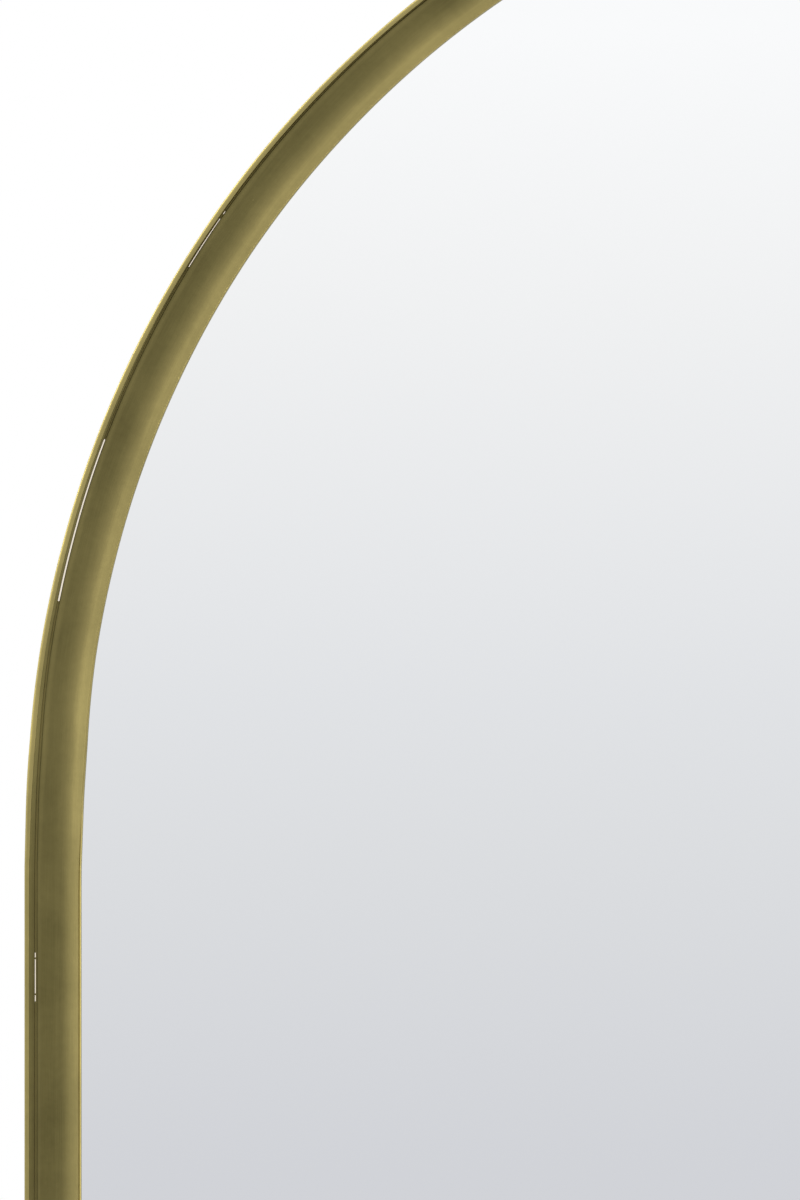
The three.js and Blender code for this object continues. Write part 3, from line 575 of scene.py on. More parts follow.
# %% The moulding's section
FACE_OUT = 4.5
FACE_IN = 20.55
FACE_TOP = 35.4
FACE_ROLL = 2.6
ROLL_FROM = 12.4
ROLL_TO = 19.85
SHEET = 1.6
ARRIS = 0.35
BACK_RISE = 16.1
LIP_RISE = 29.8
RIB_TOP = 34.85
RIB_HEIGHT = 2
print("the moulding is", round(FACE_IN - FACE_OUT, 2), "mm wide")

# %% How the face rises and shines
def face_rise(inward):
    """Height of the moulding's face: flat, then rolling down towards the glass."""
    share = max(0.0, (inward - ROLL_FROM) / (ROLL_TO - ROLL_FROM))
    return FACE_TOP - FACE_ROLL * share ** 1.8


def outer_line(inward, gain, end):
    """A faint lighter line along the outer edge of the face, fading out at `end`."""
    return 0.235 + gain * (1 - share_of_way(inward, 5.6, end))


def face_tone_and_painted_sheen(inward):
    """The face's tone: a faint lighter line outside, a dark flat, then a painted reflection brightening it
    down the roll.
    """
    flat = outer_line(inward, 0.03, 6.2) + 0.03 * share_of_way(inward, 10.8, 11.6)
    return flat + 0.30 * share_of_way(inward, 13.2, 19.2)


def arch_face_tone_and_painted_sheen(inward):
    """The same on the arch, where the painted reflection on the roll starts sooner and ends less bright."""
    flat = outer_line(inward, 0.09, 7.0) + 0.03 * share_of_way(inward, 8, 11)
    return flat + 0.335 * share_of_way(inward, 11.0, 17.2)


print("the face drops by", round(FACE_TOP - face_rise(ROLL_TO), 2), "mm towards the glass")

# %% The moulding's outline
roll = [ROLL_FROM + (ROLL_TO - ROLL_FROM) * i / 14 for i in range(15)]
flat = [5.6, 6.2, 7.0, 8.0, 10.8, 11.6]
# The rib's top is lighter than the rest of the outer leg: painted light that keeps the closed slit from going
# too dark.
outer_leg = rounded([
    (FACE_OUT + 2, BACK_RISE + 2.2, 0.2, 0.1), (FACE_OUT + 5, BACK_RISE + 2.2, 0.4, 0.2),
    (FACE_OUT + 5, BACK_RISE, 0.4, 0.3), (FACE_OUT, BACK_RISE, 0.5, 0.3),
    (FACE_OUT, RIB_TOP - RIB_HEIGHT - 0.2, 0, 0.2), (FACE_OUT, RIB_TOP - RIB_HEIGHT, 0, 0.4),
    (FACE_OUT, RIB_TOP, 0, 0.5, 0.6),
    (FACE_OUT, RIB_TOP + 0.05, 0, 0.3), (FACE_OUT, FACE_TOP, 0.35, 0.22, 0.27),
    (FACE_OUT + 0.5, FACE_TOP, 0, 0.27, 0.3),
    (FACE_OUT + 3, BACK_RISE + 5, 0, 0.1),
])[:-1]
face = [(Vector((x, face_rise(x))), (face_tone_and_painted_sheen(x), arch_face_tone_and_painted_sheen(x))) for x in flat + roll]
arris_foot = face_rise(ROLL_TO)
# The arris is given a bright tone on the leg and a duller one on the arch: partly rubbed brass, partly a
# painted highlight.
arris = rounded([
    (ROLL_TO, arris_foot, 0, 0.5), (ROLL_TO + 0.25, arris_foot + ARRIS, 0.12, 0.8, 0.58),
    (FACE_IN, arris_foot + ARRIS, 0.2, 0.95, 0.62), (FACE_IN, LIP_RISE, 0.15, 0.45, 0.5),
    (FACE_IN - 1.5, LIP_RISE, 0.1, 0.1), (FACE_IN - 1.5, arris_foot - SHEET + 0.3, 0, 0.1),
    (ROLL_FROM, arris_foot, 0, 0.1),
])[1:-1]
under = [(Vector((x, face_rise(x) - SHEET)), (0.1,)) for x in [*roll[-3::-3], FACE_OUT + 2]]
moulding_outline = [*outer_leg, *face, *arris, *under]


def on_rib(p):
    """1 on the low rib of the outer leg."""
    return 1.0 if p.x < FACE_OUT + 0.01 and RIB_TOP - RIB_HEIGHT - 0.1 < p.y < RIB_TOP + 0.02 else 0.0


print("the moulding's section has", len(moulding_outline), "points")

# %% [markdown]
# ## Starting and ending a geometry tree
# Each geometry tree has named inputs, so that its sizes and materials are set from outside. Each one also
# ends the same way: copies are made real, because an exported model has no instances, and the material is
# set. These helpers do that, and put a finished tree on an object.

# %% Starting and ending a tree
def start_tree(name, inputs):
    """A geometry tree with named inputs, and the sockets that give them."""
    tree = bpy.data.node_groups.new(name, "GeometryNodeTree")
    for label, kind in {"Geometry": "Geometry", **inputs}.items():
        tree.interface.new_socket(label, in_out="INPUT", socket_type="NodeSocket" + kind)
    tree.interface.new_socket("Geometry", in_out="OUTPUT", socket_type="NodeSocketGeometry")
    return tree, add_node(tree, "NodeGroupInput").outputs


def end_tree(tree, geometry, material, part=None, part_material=None):
    """Makes copies real and sets the material, and a second one on a chosen part."""
    real = add_node(tree, "GeometryNodeRealizeInstances", {"Geometry": geometry}).outputs[0]
    coated = add_node(tree, "GeometryNodeSetMaterial", {"Geometry": real, "Material": material}).outputs[0]
    if part is not None:
        coated = add_node(tree, "GeometryNodeSetMaterial", {
            "Geometry": coated, "Selection": part, "Material": part_material,
        }).outputs[0]
    add_node(tree, "NodeGroupOutput", {"Geometry": coated})
    print("tree", tree.name, "with", len(tree.nodes), "nodes")
    return tree


def run_tree(piece, tree, values):
    """Puts the tree on a piece and sets its named inputs."""
    modifier = piece.modifiers.new(tree.name, "NODES")
    modifier.node_group = tree
    for item in tree.interface.items_tree:
        if item.item_type == "SOCKET" and item.in_out == "INPUT" and item.name in values:
            modifier[item.identifier] = values[item.name]


# %% [markdown]
# ## Sweeping a section round the frame
# The geometry tree takes a section and the path's points. It sweeps one along the other only to get the
# grid of faces. Then every point is put in place by a rule: the path's place, plus so much inwards, so
# much forwards, and at a mitred end so much along. Because it is a rule, the ledge can narrow, the rib
# can stop and the arris can sink without a single face being modelled by hand.

# %% The sweeping tree
def sweeping_tree():
    """Geometry nodes: a section with its measures, swept along a path with its directions."""
    tree, given = start_tree("section_round_the_frame", {
        "Path": "Object", "Spread": "Float", "Sink": "Float",
        "Material": "Material", "Bare material": "Material",
    })
    numbers = ("draw", "fan", "bent", "reach", "in", "rise", "give", "spread", "rib", "sink", "bare",
               "leg_tone", "arch_tone")
    stored = {}
    for data_type, names in (("FLOAT_VECTOR", ("place", "inward", "slide")), ("FLOAT", numbers)):
        for name in names:
            stored[name] = add_node(tree, "GeometryNodeInputNamedAttribute", {
                "Name": name,
            }, data_type=data_type).outputs[0]
    path = add_node(tree, "GeometryNodeObjectInfo", {"Object": given["Path"]}).outputs["Geometry"]
    route = add_node(tree, "GeometryNodeMeshToCurve", {"Mesh": path}).outputs[0]
    loop = add_node(tree, "GeometryNodeMeshToCurve", {"Mesh": given["Geometry"]}).outputs[0]
    grid = add_node(tree, "GeometryNodeCurveToMesh", {
        "Curve": route, "Profile Curve": loop, "Fill Caps": True,
    }).outputs[0]
    measures = {"in": stored["in"], "rise": stored["rise"]}
    for measure, weight, amount, size in (
        ("in", "give", "draw", 1.0), ("in", "rib", "reach", 1.0), ("in", "spread", "fan", given["Spread"]),
        ("rise", "sink", "bent", given["Sink"]),
    ):
        part = add_node(tree, "ShaderNodeMath", {
            0: stored[weight], 1: stored[amount],
        }, operation="MULTIPLY").outputs[0]
        part = add_node(tree, "ShaderNodeMath", {0: part, 1: size}, operation="MULTIPLY").outputs[0]
        measures[measure] = add_node(tree, "ShaderNodeMath", {
            0: measures[measure], 1: part,
        }, operation="SUBTRACT").outputs[0]
    forward = add_node(tree, "ShaderNodeMath", {
        0: measures["rise"], 1: -1.0,
    }, operation="MULTIPLY").outputs[0]
    forwards = add_node(tree, "ShaderNodeCombineXYZ", {1: forward}).outputs[0]
    place = add_node(tree, "ShaderNodeVectorMath", {
        0: stored["place"], 1: forwards,
    }, operation="ADD").outputs[0]
    for way in ("inward", "slide"):
        move = add_node(tree, "ShaderNodeVectorMath", {
            0: stored[way], "Scale": measures["in"],
        }, operation="SCALE").outputs[0]
        place = add_node(tree, "ShaderNodeVectorMath", {0: place, 1: move}, operation="ADD").outputs[0]
    placed = add_node(tree, "GeometryNodeSetPosition", {"Geometry": grid, "Position": place}).outputs[0]
    # The tone, painted shade and painted highlights included, turns from the leg's to the arch's over the
    # bend.
    tone = add_node(tree, "ShaderNodeMix", {
        "Factor": stored["bent"], 2: stored["leg_tone"], 3: stored["arch_tone"],
    }).outputs[0]
    toned = add_node(tree, "GeometryNodeStoreNamedAttribute", {
        "Geometry": placed, "Name": "tone", "Value": tone,
    }).outputs[0]
    is_bare = add_node(tree, "ShaderNodeMath", {
        0: stored["bare"], 1: 0.75,
    }, operation="GREATER_THAN").outputs[0]
    return end_tree(tree, toned, given["Material"], is_bare, given["Bare material"])


sweeping = sweeping_tree()

# %% [markdown]
# ## From live modifiers to a plain mesh
# A finished piece is one plain mesh that carries its place in its points. This helper reads the result of
# the modifiers, turns all faces outwards, leans it with the rest, and marks as sharp only the edges that
# turn more than a given angle, so that rounds shade smoothly and corners stay crisp.

# %% Plain pieces
MERGE = 0.0005 * MM  # points closer than this are one


def plain(piece, sharp_degrees=34, leaned=True):
    """Replaces a piece's mesh by its evaluated one, closed, leaned and shaded."""
    depsgraph = bpy.context.evaluated_depsgraph_get()
    evaluated = piece.evaluated_get(depsgraph)
    mesh = bpy.data.meshes.new_from_object(evaluated, preserve_all_data_layers=True, depsgraph=depsgraph)
    piece.modifiers.clear()
    piece.data = mesh
    mesh.name = piece.name
    work = bmesh.new()
    work.from_mesh(mesh)
    bmesh.ops.remove_doubles(work, verts=work.verts, dist=MERGE)
    bmesh.ops.dissolve_degenerate(work, edges=work.edges, dist=MERGE)
    bmesh.ops.recalc_face_normals(work, faces=work.faces)
    if work.calc_volume(signed=True) < 0:
        bmesh.ops.reverse_faces(work, faces=work.faces)
    open_edges = sum(1 for edge in work.edges if not edge.is_manifold)
    work.to_mesh(mesh)
    work.free()
    if leaned:
        mesh.transform(LEANING)
    for face in mesh.polygons:
        face.use_smooth = True
    mesh.set_sharp_from_angle(angle=math.radians(sharp_degrees))
    print(piece.name, len(mesh.polygons), "faces,", open_edges, "open edges")
    return piece


# %% [markdown]
# ### A path that carries numbers
# The path is built like the sections, as a chain of mesh edges. Each of its points stores where it is,
# which way is inwards, and how far each change has come. The tree reads them all by name.

# %% A path as an object
def path_object(name, points):
    """The path as a chain of points that store what the sweep reads."""
    mesh = bpy.data.meshes.new(name)
    mesh.from_pydata([p["place"] for p in points], [(i, i + 1) for i in range(len(points) - 1)], [])
    for column in ("place", "inward", "slide"):
        values = [value for p in points for value in p[column]]
        mesh.attributes.new(column, "FLOAT_VECTOR", "POINT").data.foreach_set("vector", values)
    for column in ("draw", "fan", "bent", "reach", "along"):
        values = [p[column] for p in points]
        mesh.attributes.new(column, "FLOAT", "POINT").data.foreach_set("value", values)
    print("path", name, "with", len(points), "points")
    return place_in_scene(name, mesh)


# %% [markdown]
# ## Bare brass
# The inner side of the band faces into the slit, where neither the bath nor the cloth reaches. It keeps
# the smooth skin of the rolled bar. Light that comes in from behind glances off it, and the slit glints.
# A glancing reflection is nearly white on any metal, and the specular tint keeps it a pale yellow.

# %% Bare brass
bare_brass, tree, place = start_material("bare_rolled_brass")
haze = add_node(tree, "ShaderNodeTexNoise", {
    "Vector": place, "Scale": 1 / (25 * MM), "Detail": 3.0,
}).outputs["Fac"]
yellow = add_node(tree, "ShaderNodeValToRGB", {"Fac": haze})
set_stops(yellow, [(0.35, "#D9BE5A"), (0.7, "#E6D070")])
smooth = add_node(tree, "ShaderNodeMapRange", {
    "Value": haze, "To Min": 0.03, "To Max": 0.07,
}).outputs["Result"]
shader = add_node(tree, "ShaderNodeBsdfPrincipled", {
    "Base Color": yellow.outputs["Color"], "Metallic": 1.0, "Roughness": smooth,
    "Specular Tint": colour("#E0C458"),
}).outputs[0]
add_node(tree, "ShaderNodeOutputMaterial", {"Surface": shader})

# %% [markdown]
# ## Band and moulding
# Four pieces come out of the same tree: each of the two sections, once over the arch and once along the
# bottom. On the arch the band's rim comes out a little wider and its ledge gives way. The moulding moves
# out as a whole there, and its face spreads by up to half a millimetre.

# %% The rules of each section
SPREAD = 0.5 * MM
RIM_STILL = 0.6   # mm of the rim, from its outer edge, that stay as they are
LEDGE_GIVE = 0.8  # of each mm that the moulding moves
RIM_TAKES = 0.06  # of the same, by which the rim gets wider


def band_give(p):
    """The band's ledge gives way, and its rim takes a little of that."""
    return between(p.x, [(RIM_STILL, 0.0), (RIM_IN, -RIM_TAKES), (LEDGE_IN, LEDGE_GIVE)])


def rim_share(p):
    """Minus 1 at the rim's inner edge, 0 at both ends: the rim comes out a little wider on the arch."""
    return between(p.x, [(RIM_STILL, 0.0), (RIM_IN, -1.0), (LEDGE_IN, 0.0)])


def on_bare_side(p):
    """1 on the part of the band's inner side that neither bath nor cloth reached."""
    return 1.0 if abs(p.x - LEDGE_IN) < 0.01 and BARE_FROM - 0.1 < p.y < BARE_TO + 0.1 else 0.0


def face_share(p):
    """Minus the share of the way across the moulding's face: what spreads goes inwards."""
    return -max(0.0, (p.x - FACE_OUT) / (FACE_IN - FACE_OUT))


def on_arris(p):
    """1 on the raised arris."""
    return 1.0 if p.x > ROLL_TO + 0.05 and p.y > arris_foot + 0.05 else 0.0


print("the ledge gives", LEDGE_GIVE, "of what the moulding moves")

# %% Sweep the four bars
arch_path = path_object("arch_path", arch_points())
bottom_path = path_object("bottom_path", bottom_points())
BARS = [
    ("outer_band", "brass_rim", band_brass, {
        "outline": band_outline, "give": band_give, "spread": rim_share, "bare": on_bare_side,
    }),
    ("inner_moulding", "brass_face", face_brass, {
        "outline": moulding_outline, "give": lambda p: 1.0, "spread": face_share,
        "rib": on_rib, "sink": on_arris,
    }),
]
for bar, slot, brass, section in BARS:
    for stretch, path in (("arch", arch_path), ("bottom", bottom_path)):
        piece = section_object(f"{bar}_{stretch}_bar", **section)
        run_tree(piece, sweeping, {
            "Path": path, "Spread": SPREAD, "Sink": ARRIS * MM,
            "Material": brass, "Bare material": bare_brass,
        })
        plain(piece, 40)
        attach(piece, "frame")
        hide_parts(f"{bar}_{stretch}")

# %% [markdown]
# ## Gasket
# A soft black strip lies between the lip of the moulding and the glass. It follows the lip, a little
# further back, so from the front it shows only as a thin dark line. The same tree sweeps it. Extruded
# rubber is dull and very slightly uneven.

# %% Rubber
def rubber(name, code, rough, speckle):
    """Moulded or extruded rubber: near black, dull, with a fine uneven bloom."""
    made, tree, place = start_material(name)
    bloom = add_node(tree, "ShaderNodeTexNoise", {
        "Vector": place, "Scale": 1 / (speckle * MM), "Detail": 3.0,
    }).outputs["Fac"]
    ramp = add_node(tree, "ShaderNodeValToRGB", {"Fac": bloom})
    set_stops(ramp, [(0.35, code), (0.75, "#34353A")])
    dull = add_node(tree, "ShaderNodeMapRange", {
        "Value": bloom, "To Min": rough - 0.08, "To Max": rough + 0.08,
    }).outputs["Result"]
    bump = add_node(tree, "ShaderNodeBump", {
        "Strength": 0.3, "Distance": 0.05 * MM, "Height": bloom,
    }).outputs[0]
    shader = add_node(tree, "ShaderNodeBsdfPrincipled", {
        "Base Color": ramp.outputs["Color"], "Roughness": dull, "IOR": 1.52, "Normal": bump,
    }).outputs[0]
    add_node(tree, "ShaderNodeOutputMaterial", {"Surface": shader})
    return made


gasket_rubber = rubber("extruded_rubber", "#17171A", 0.72, 1.5)

# %% The gasket's section
GASKET_OUT, GASKET_IN = 14.4, 20.1
GASKET_BACK, GASKET_FRONT = 28.55, 29.45
gasket_outline = rounded([
    (GASKET_OUT, GASKET_BACK, 0.2, 0), (GASKET_OUT, GASKET_FRONT, 0.2, 0),
    (GASKET_IN, GASKET_FRONT, 0.3, 0), (GASKET_IN, GASKET_BACK, 0.3, 0),
])
print("the gasket is", round(GASKET_FRONT - GASKET_BACK, 2), "mm thick")

# %% [markdown]
# ### Closing the gasket
# The strip over the arch meets the strip along the bottom in two mitres. On the real mirror they are
# glued there into one ring. So both go into one mesh, their meeting points are joined, and the end
# faces that now lie inside are taken out.

# %% Sweep the gasket
WELD = 0.002 * MM  # loose sides and faces whose points lie closer than this are joined


def ring_gasket():
    """The gasket's four sides: over the arch and along the bottom, in one mesh."""
    sides = []
    for stretch, path in (("arch", arch_path), ("bottom", bottom_path)):
        side = section_object(f"gasket_{stretch}", gasket_outline, lambda p: 1.0, face_share)
        run_tree(side, sweeping, {
            "Path": path, "Spread": SPREAD, "Sink": 0.0, "Material": gasket_rubber,
        })
        sides.append(plain(side, 40))
    work = bmesh.new()
    for side in sides:
        work.from_mesh(side.data)
    bmesh.ops.remove_doubles(work, verts=work.verts, dist=WELD)
    caps = [face for face in work.faces if len(face.verts) > 4]
    bmesh.ops.delete(work, geom=caps, context="FACES_ONLY")
    open_edges = sum(1 for edge in work.edges if not edge.is_manifold)
    print("gasket welded,", len(caps), "inner caps out,", open_edges, "open edges")
    work.to_mesh(sides[0].data)
    work.free()
    bpy.data.objects.remove(sides[1])
    sides[0].name = "gasket_strip"
    return sides[0]


gasket = ring_gasket()
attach(gasket, "frame")
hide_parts("glass_gasket")
for path in (arch_path, bottom_path):
    bpy.data.objects.remove(path)

# %% [markdown]
# ## Silvered glass
# Mirror glass is clear float glass with silver on its back. From the front it is drawn as a polished
# metal: almost all light comes back, slightly cool, and the polish is perfect.

# %% Silvered glass
silvered, tree, _ = start_material("silvered_float_glass")
shader = add_node(tree, "ShaderNodeBsdfPrincipled", {
    "Base Color": colour("#FBFCFD"), "Metallic": 1.0, "Roughness": 0.012,
}).outputs[0]
add_node(tree, "ShaderNodeOutputMaterial", {"Surface": shader})
glass_node = frame["nodes"]["mirror_glass"]
glass_node.data.materials.clear()
glass_node.data.materials.append(silvered)
print(glass_node.name, "in", silvered.name)

# %% [markdown]
# ## Zinc plate
# Clips, screws, rail and hangers are mild steel with a thin coat of zinc. Zinc is a soft grey metal that
# clouds over in patches a few millimetres wide, so its gloss varies more than its colour does.

# %% Zinc plate
def zinc_plate(name, dark, pale, rough, patch):
    """Zinc-plated steel: cloudy grey, with fine rolling lines."""
    made, tree, place = start_material(name)
    cloud = add_node(tree, "ShaderNodeTexNoise", {
        "Vector": place, "Scale": 1 / (patch * MM), "Detail": 4.0, "Roughness": 0.55,
    }).outputs["Fac"]
    drawn = add_node(tree, "ShaderNodeMapping", {
        "Vector": place, "Scale": (1 / (12 * MM), 1 / (0.5 * MM), 1 / (0.5 * MM)),
    }).outputs[0]
    lines = add_node(tree, "ShaderNodeTexNoise", {
        "Vector": drawn, "Scale": 1.0, "Detail": 2.0,
    }).outputs["Fac"]
    ramp = add_node(tree, "ShaderNodeValToRGB", {"Fac": cloud})
    set_stops(ramp, [(0.3, dark), (0.7, pale)])
    gloss = add_node(tree, "ShaderNodeMapRange", {
        "Value": cloud, "From Min": 0.3, "From Max": 0.7, "To Min": rough + 0.1, "To Max": rough - 0.08,
    }).outputs["Result"]
    bump = add_node(tree, "ShaderNodeBump", {
        "Strength": 0.3, "Distance": 0.02 * MM, "Height": lines,
    }).outputs[0]
    shader = add_node(tree, "ShaderNodeBsdfPrincipled", {
        "Base Color": ramp.outputs["Color"], "Metallic": 1.0, "Roughness": gloss, "Normal": bump,
    }).outputs[0]
    add_node(tree, "ShaderNodeOutputMaterial", {"Surface": shader})
    return made


zinc_sheet = zinc_plate("zinc_plated_sheet", "#8E9296", "#B4B8BA", 0.38, 7)
zinc_wire = zinc_plate("zinc_plated_wire", "#9A9EA1", "#C4C7C9", 0.28, 4)

# %% [markdown]
# ## Repeating a part
# Screws and clips come in numbers. Each is modelled once at the origin, and a small tree puts a copy on
# every point of a cloud, turned as the point says. Realising the copies makes them one plain mesh.

# %% The repeating tree
def repeating_tree():
    """Geometry nodes: a part on every point, turned by the point's own angles."""
    tree, given = start_tree("part_on_points", {"Part": "Object", "Size": "Float", "Material": "Material"})
    turn = add_node(tree, "GeometryNodeInputNamedAttribute", {"Name": "turn"}, data_type="FLOAT_VECTOR")
    part = add_node(tree, "GeometryNodeObjectInfo", {"Object": given["Part"]}).outputs["Geometry"]
    size = add_node(tree, "ShaderNodeCombineXYZ", {
        0: given["Size"], 1: given["Size"], 2: given["Size"],
    }).outputs[0]
    copies = add_node(tree, "GeometryNodeInstanceOnPoints", {
        "Points": given["Geometry"], "Instance": part, "Rotation": turn.outputs[0], "Scale": size,
    }).outputs[0]
    return end_tree(tree, copies, given["Material"])


repeating = repeating_tree()

# %% One mesh of many parts
def repeated(name, part, places, material, leaned=True, sharp_degrees=34):
    """One plain mesh of a part at every (place, turn)."""
    mesh = bpy.data.meshes.new(name)
    mesh.from_pydata([place for place, turn in places], [], [])
    angles = [angle for place, turn in places for angle in turn]
    mesh.attributes.new("turn", "FLOAT_VECTOR", "POINT").data.foreach_set("vector", angles)
    piece = place_in_scene(name, mesh)
    run_tree(piece, repeating, {"Part": part, "Size": 1.0, "Material": material})
    plain(piece, sharp_degrees, leaned)
    bpy.data.objects.remove(part)
    return piece


# %% [markdown]
# ### Turned parts
# Screws and sleeves are turned parts. A list of radius and height pairs, spun round the axis, gives such
# a shape directly, and a flat face closes each end.

# %% Loose and turned parts
def mesh_part(name, points, faces):
    """A loose mesh object, for a part that is about to be repeated or cut."""
    mesh = bpy.data.meshes.new(name)
    mesh.from_pydata(points, [], faces)
    print("part", name, "with", len(faces), "faces")
    return place_in_scene(name, mesh)


def turned_part(name, profile, sides):
    """A closed turned part: (radius, height) points in mm from one end of the axis to the other."""
    points, faces = [], []
    for radius, up in profile:
        for i in range(sides):
            angle = 2 * math.pi * i / sides
            points.append((radius * MM * math.cos(angle), radius * MM * math.sin(angle), up * MM))
    for ring in range(len(profile) - 1):
        for i in range(sides):
            j = (i + 1) % sides
            faces.append((ring * sides + i, ring * sides + j, (ring + 1) * sides + j, (ring + 1) * sides + i))
    last = (len(profile) - 1) * sides
    faces.append(tuple(reversed(range(sides))))
    faces.append(tuple(range(last, last + sides)))
    return mesh_part(name, points, faces)


# %% [markdown]
# ## Screws
# All two dozen are the same small pan-head screw. The head is a turned dome and its cross recess is cut
# with a tapered plus-shaped punch, just as the real one is pressed. Nobody lines up the slots of screws,
# so each one is turned by a random angle, from a fixed seed.

# %% One screw
HEAD_RADIUS, HEAD_HEIGHT = 2.3, 1.5
RIM_HEIGHT = 0.45
SHANK_RADIUS = 1.5
head_curve = [
    (HEAD_RADIUS * math.cos(math.radians(a)) ** 0.7,
     RIM_HEIGHT + (HEAD_HEIGHT - RIM_HEIGHT) * math.sin(math.radians(a)))
    for a in range(0, 85, 12)
]
shank = [(1.4, -2.5), (SHANK_RADIUS, -2.2), (SHANK_RADIUS, 0), (2.15, 0), (HEAD_RADIUS, 0.12)]
screw_part = turned_part("screw", [*shank, *head_curve], 24)

# %% The cross recess
ARM, SLOT = 1.25, 0.28  # mm from the middle to the end of an arm, and to its side
cross = [(SLOT, ARM), (-SLOT, ARM), (-SLOT, SLOT), (-ARM, SLOT), (-ARM, -SLOT), (-SLOT, -SLOT),
         (-SLOT, -ARM), (SLOT, -ARM), (SLOT, -SLOT), (ARM, -SLOT), (ARM, SLOT), (SLOT, SLOT)]
PUNCH_TOP, PUNCH_TIP = 2, 0.35  # mm above the seat of the head
TAPER = 0.45  # of its full size, at the tip
punch_points = [(x * MM, y * MM, PUNCH_TOP * MM) for x, y in cross]
punch_points += [(x * TAPER * MM, y * TAPER * MM, PUNCH_TIP * MM) for x, y in cross]
punch = mesh_part("punch", punch_points, [
    tuple(range(12)), tuple(reversed(range(12, 24))),
    *[((i + 1) % 12, i, 12 + i, 12 + (i + 1) % 12) for i in range(12)],
])
press = screw_part.modifiers.new("cross_recess", "BOOLEAN")
press.object = punch
press.solver = "EXACT"
plain(screw_part, 34, leaned=False)
bpy.data.objects.remove(punch)

# %% [markdown]
# ### Where the screws sit
# Two dozen places typed in by hand would invite mistakes, and the engineering model already has them.
# Each screw's solid, turned upright, gives the seat, and its name and place tell which way the head
# faces: backwards, or inwards from the side of the frame.

# %% Every screw in its place
UPRIGHT = LEANING.inverted()
screw_nodes = sorted(n for n in frame["nodes"] if "screw" in n)
chance = random.Random(7)
print(len(screw_nodes), "screws")


def screw_place(node):
    """The seat under a screw's head, and the way its head faces, from the engineering solid."""
    points = [UPRIGHT @ v.co for v in frame["nodes"][node].data.vertices]
    middle = sum(points, Vector()) / len(points)
    axis = Vector((-middle.x, 0, SPRING - middle.z))
    if node.startswith(("clip", "rail", "hanger")):
        axis = Vector((0, 1, 0))
    elif middle.z < 30 * MM:
        axis = Vector((0, 0, 1))
    elif middle.z < SPRING:
        axis = Vector((-middle.x, 0, 0))
    axis.normalize()
    top = max(p.dot(axis) for p in points)
    low = Vector(map(min, *points))
    high = Vector(map(max, *points))
    centre = (low + high) / 2
    seat = centre + axis * (top - HEAD_HEIGHT * MM - centre.dot(axis))
    turn = axis.to_track_quat("Z", "Y") @ Matrix.Rotation(chance.uniform(0, 6.28), 3, "Z").to_quaternion()
    return seat, turn.to_euler()


# %% Put the screws in
screws = repeated("pan_head_screws", screw_part, [screw_place(n) for n in screw_nodes], zinc_wire)
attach(screws, "frame")
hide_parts(*screw_nodes)
print("one mesh stands for", len(screw_nodes), "screws")

# %% [markdown]
# ## Retaining clips
# Eight strips of sheet reach from the moulding over the backing board and hold the whole stack in. Each
# is cut with round corners and has its free end turned up a little, so that it slides over the board.
# The side view of the strip is drawn once and given its width, in four levels so that its outer corners
# can draw in.

# %% One clip
CLIP_LENGTH = 20
CLIP_LEVELS = [(-7, 1.0), (-6.2, 0), (6.2, 0), (7, 1.0)]  # mm across, and mm that each end draws in
clip_side = rounded([
    (0, 0, 0.2, 0), (18.2, 0, 1.6, 0), (20.0, 1.5, 0.2, 0), (19.4, 2.3, 0.2, 0), (17.8, 1.2, 1.2, 0),
    (0, 1.2, 0.2, 0),
])
count = len(clip_side)
clip_points, clip_faces = [], []
half_clip = CLIP_LENGTH / 2
for level, inset in CLIP_LEVELS:
    for p, tone in clip_side:
        along = half_clip + (p.x - half_clip) * (1 - inset / half_clip)
        clip_points.append((along * MM, p.y * MM, level * MM))
top_level = len(CLIP_LEVELS) - 1
for level in range(top_level):
    for i in range(count):
        j = (i + 1) % count
        low, high = level * count, (level + 1) * count
        clip_faces.append((low + i, low + j, high + j, high + i))
clip_faces.append(tuple(reversed(range(count))))
clip_faces.append(tuple(range(top_level * count, (top_level + 1) * count)))
clip_part = mesh_part("clip", clip_points, clip_faces)

# %% [markdown]
# ### Where the clips sit
# The engineering model gives these places too. A clip points inwards over the board: up from the bottom
# bar, sideways from a leg, and towards the middle of the half circle on the arch.

# %% The clips in their places
def clip_place(node):
    """Where a clip starts, and the turn that points it inwards."""
    points = [UPRIGHT @ v.co for v in frame["nodes"][node].data.vertices]
    middle = sum(points, Vector()) / len(points)
    inward = Vector((-middle.x, 0, SPRING - middle.z))
    if middle.z < 40 * MM:
        inward = Vector((0, 0, 1))
    elif middle.z < SPRING:
        inward = Vector((-middle.x, 0, 0))
    inward.normalize()
    low, high = Vector(map(min, *points)), Vector(map(max, *points))
    centre = (low + high) / 2
    start = centre - inward * half_clip * MM
    start.y = low.y
    return start, Matrix.Rotation(math.atan2(-inward.z, inward.x), 3, "Y").to_euler()


clip_nodes = sorted(n for n in frame["nodes"] if n.startswith("retaining_clip"))
clips = repeated("retaining_clips", clip_part, [clip_place(n) for n in clip_nodes], zinc_sheet)
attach(clips, "frame")
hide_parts(*clip_nodes)

# %% [markdown]
# ## Softening the engineering solids
# Flat bars, plates and moulded blocks are already right in shape. What they lack is the small round on
# every edge that catches the light. A copy of each has its loose triangles joined and its flat faces
# cleaned, and then a bevel runs round all of its edges.

# %% A softened copy
SAME_FACE = math.radians(0.6)  # faces that turn by less are one flat face
BEVEL_FROM = math.radians(32)  # edges that turn by more get a bevel


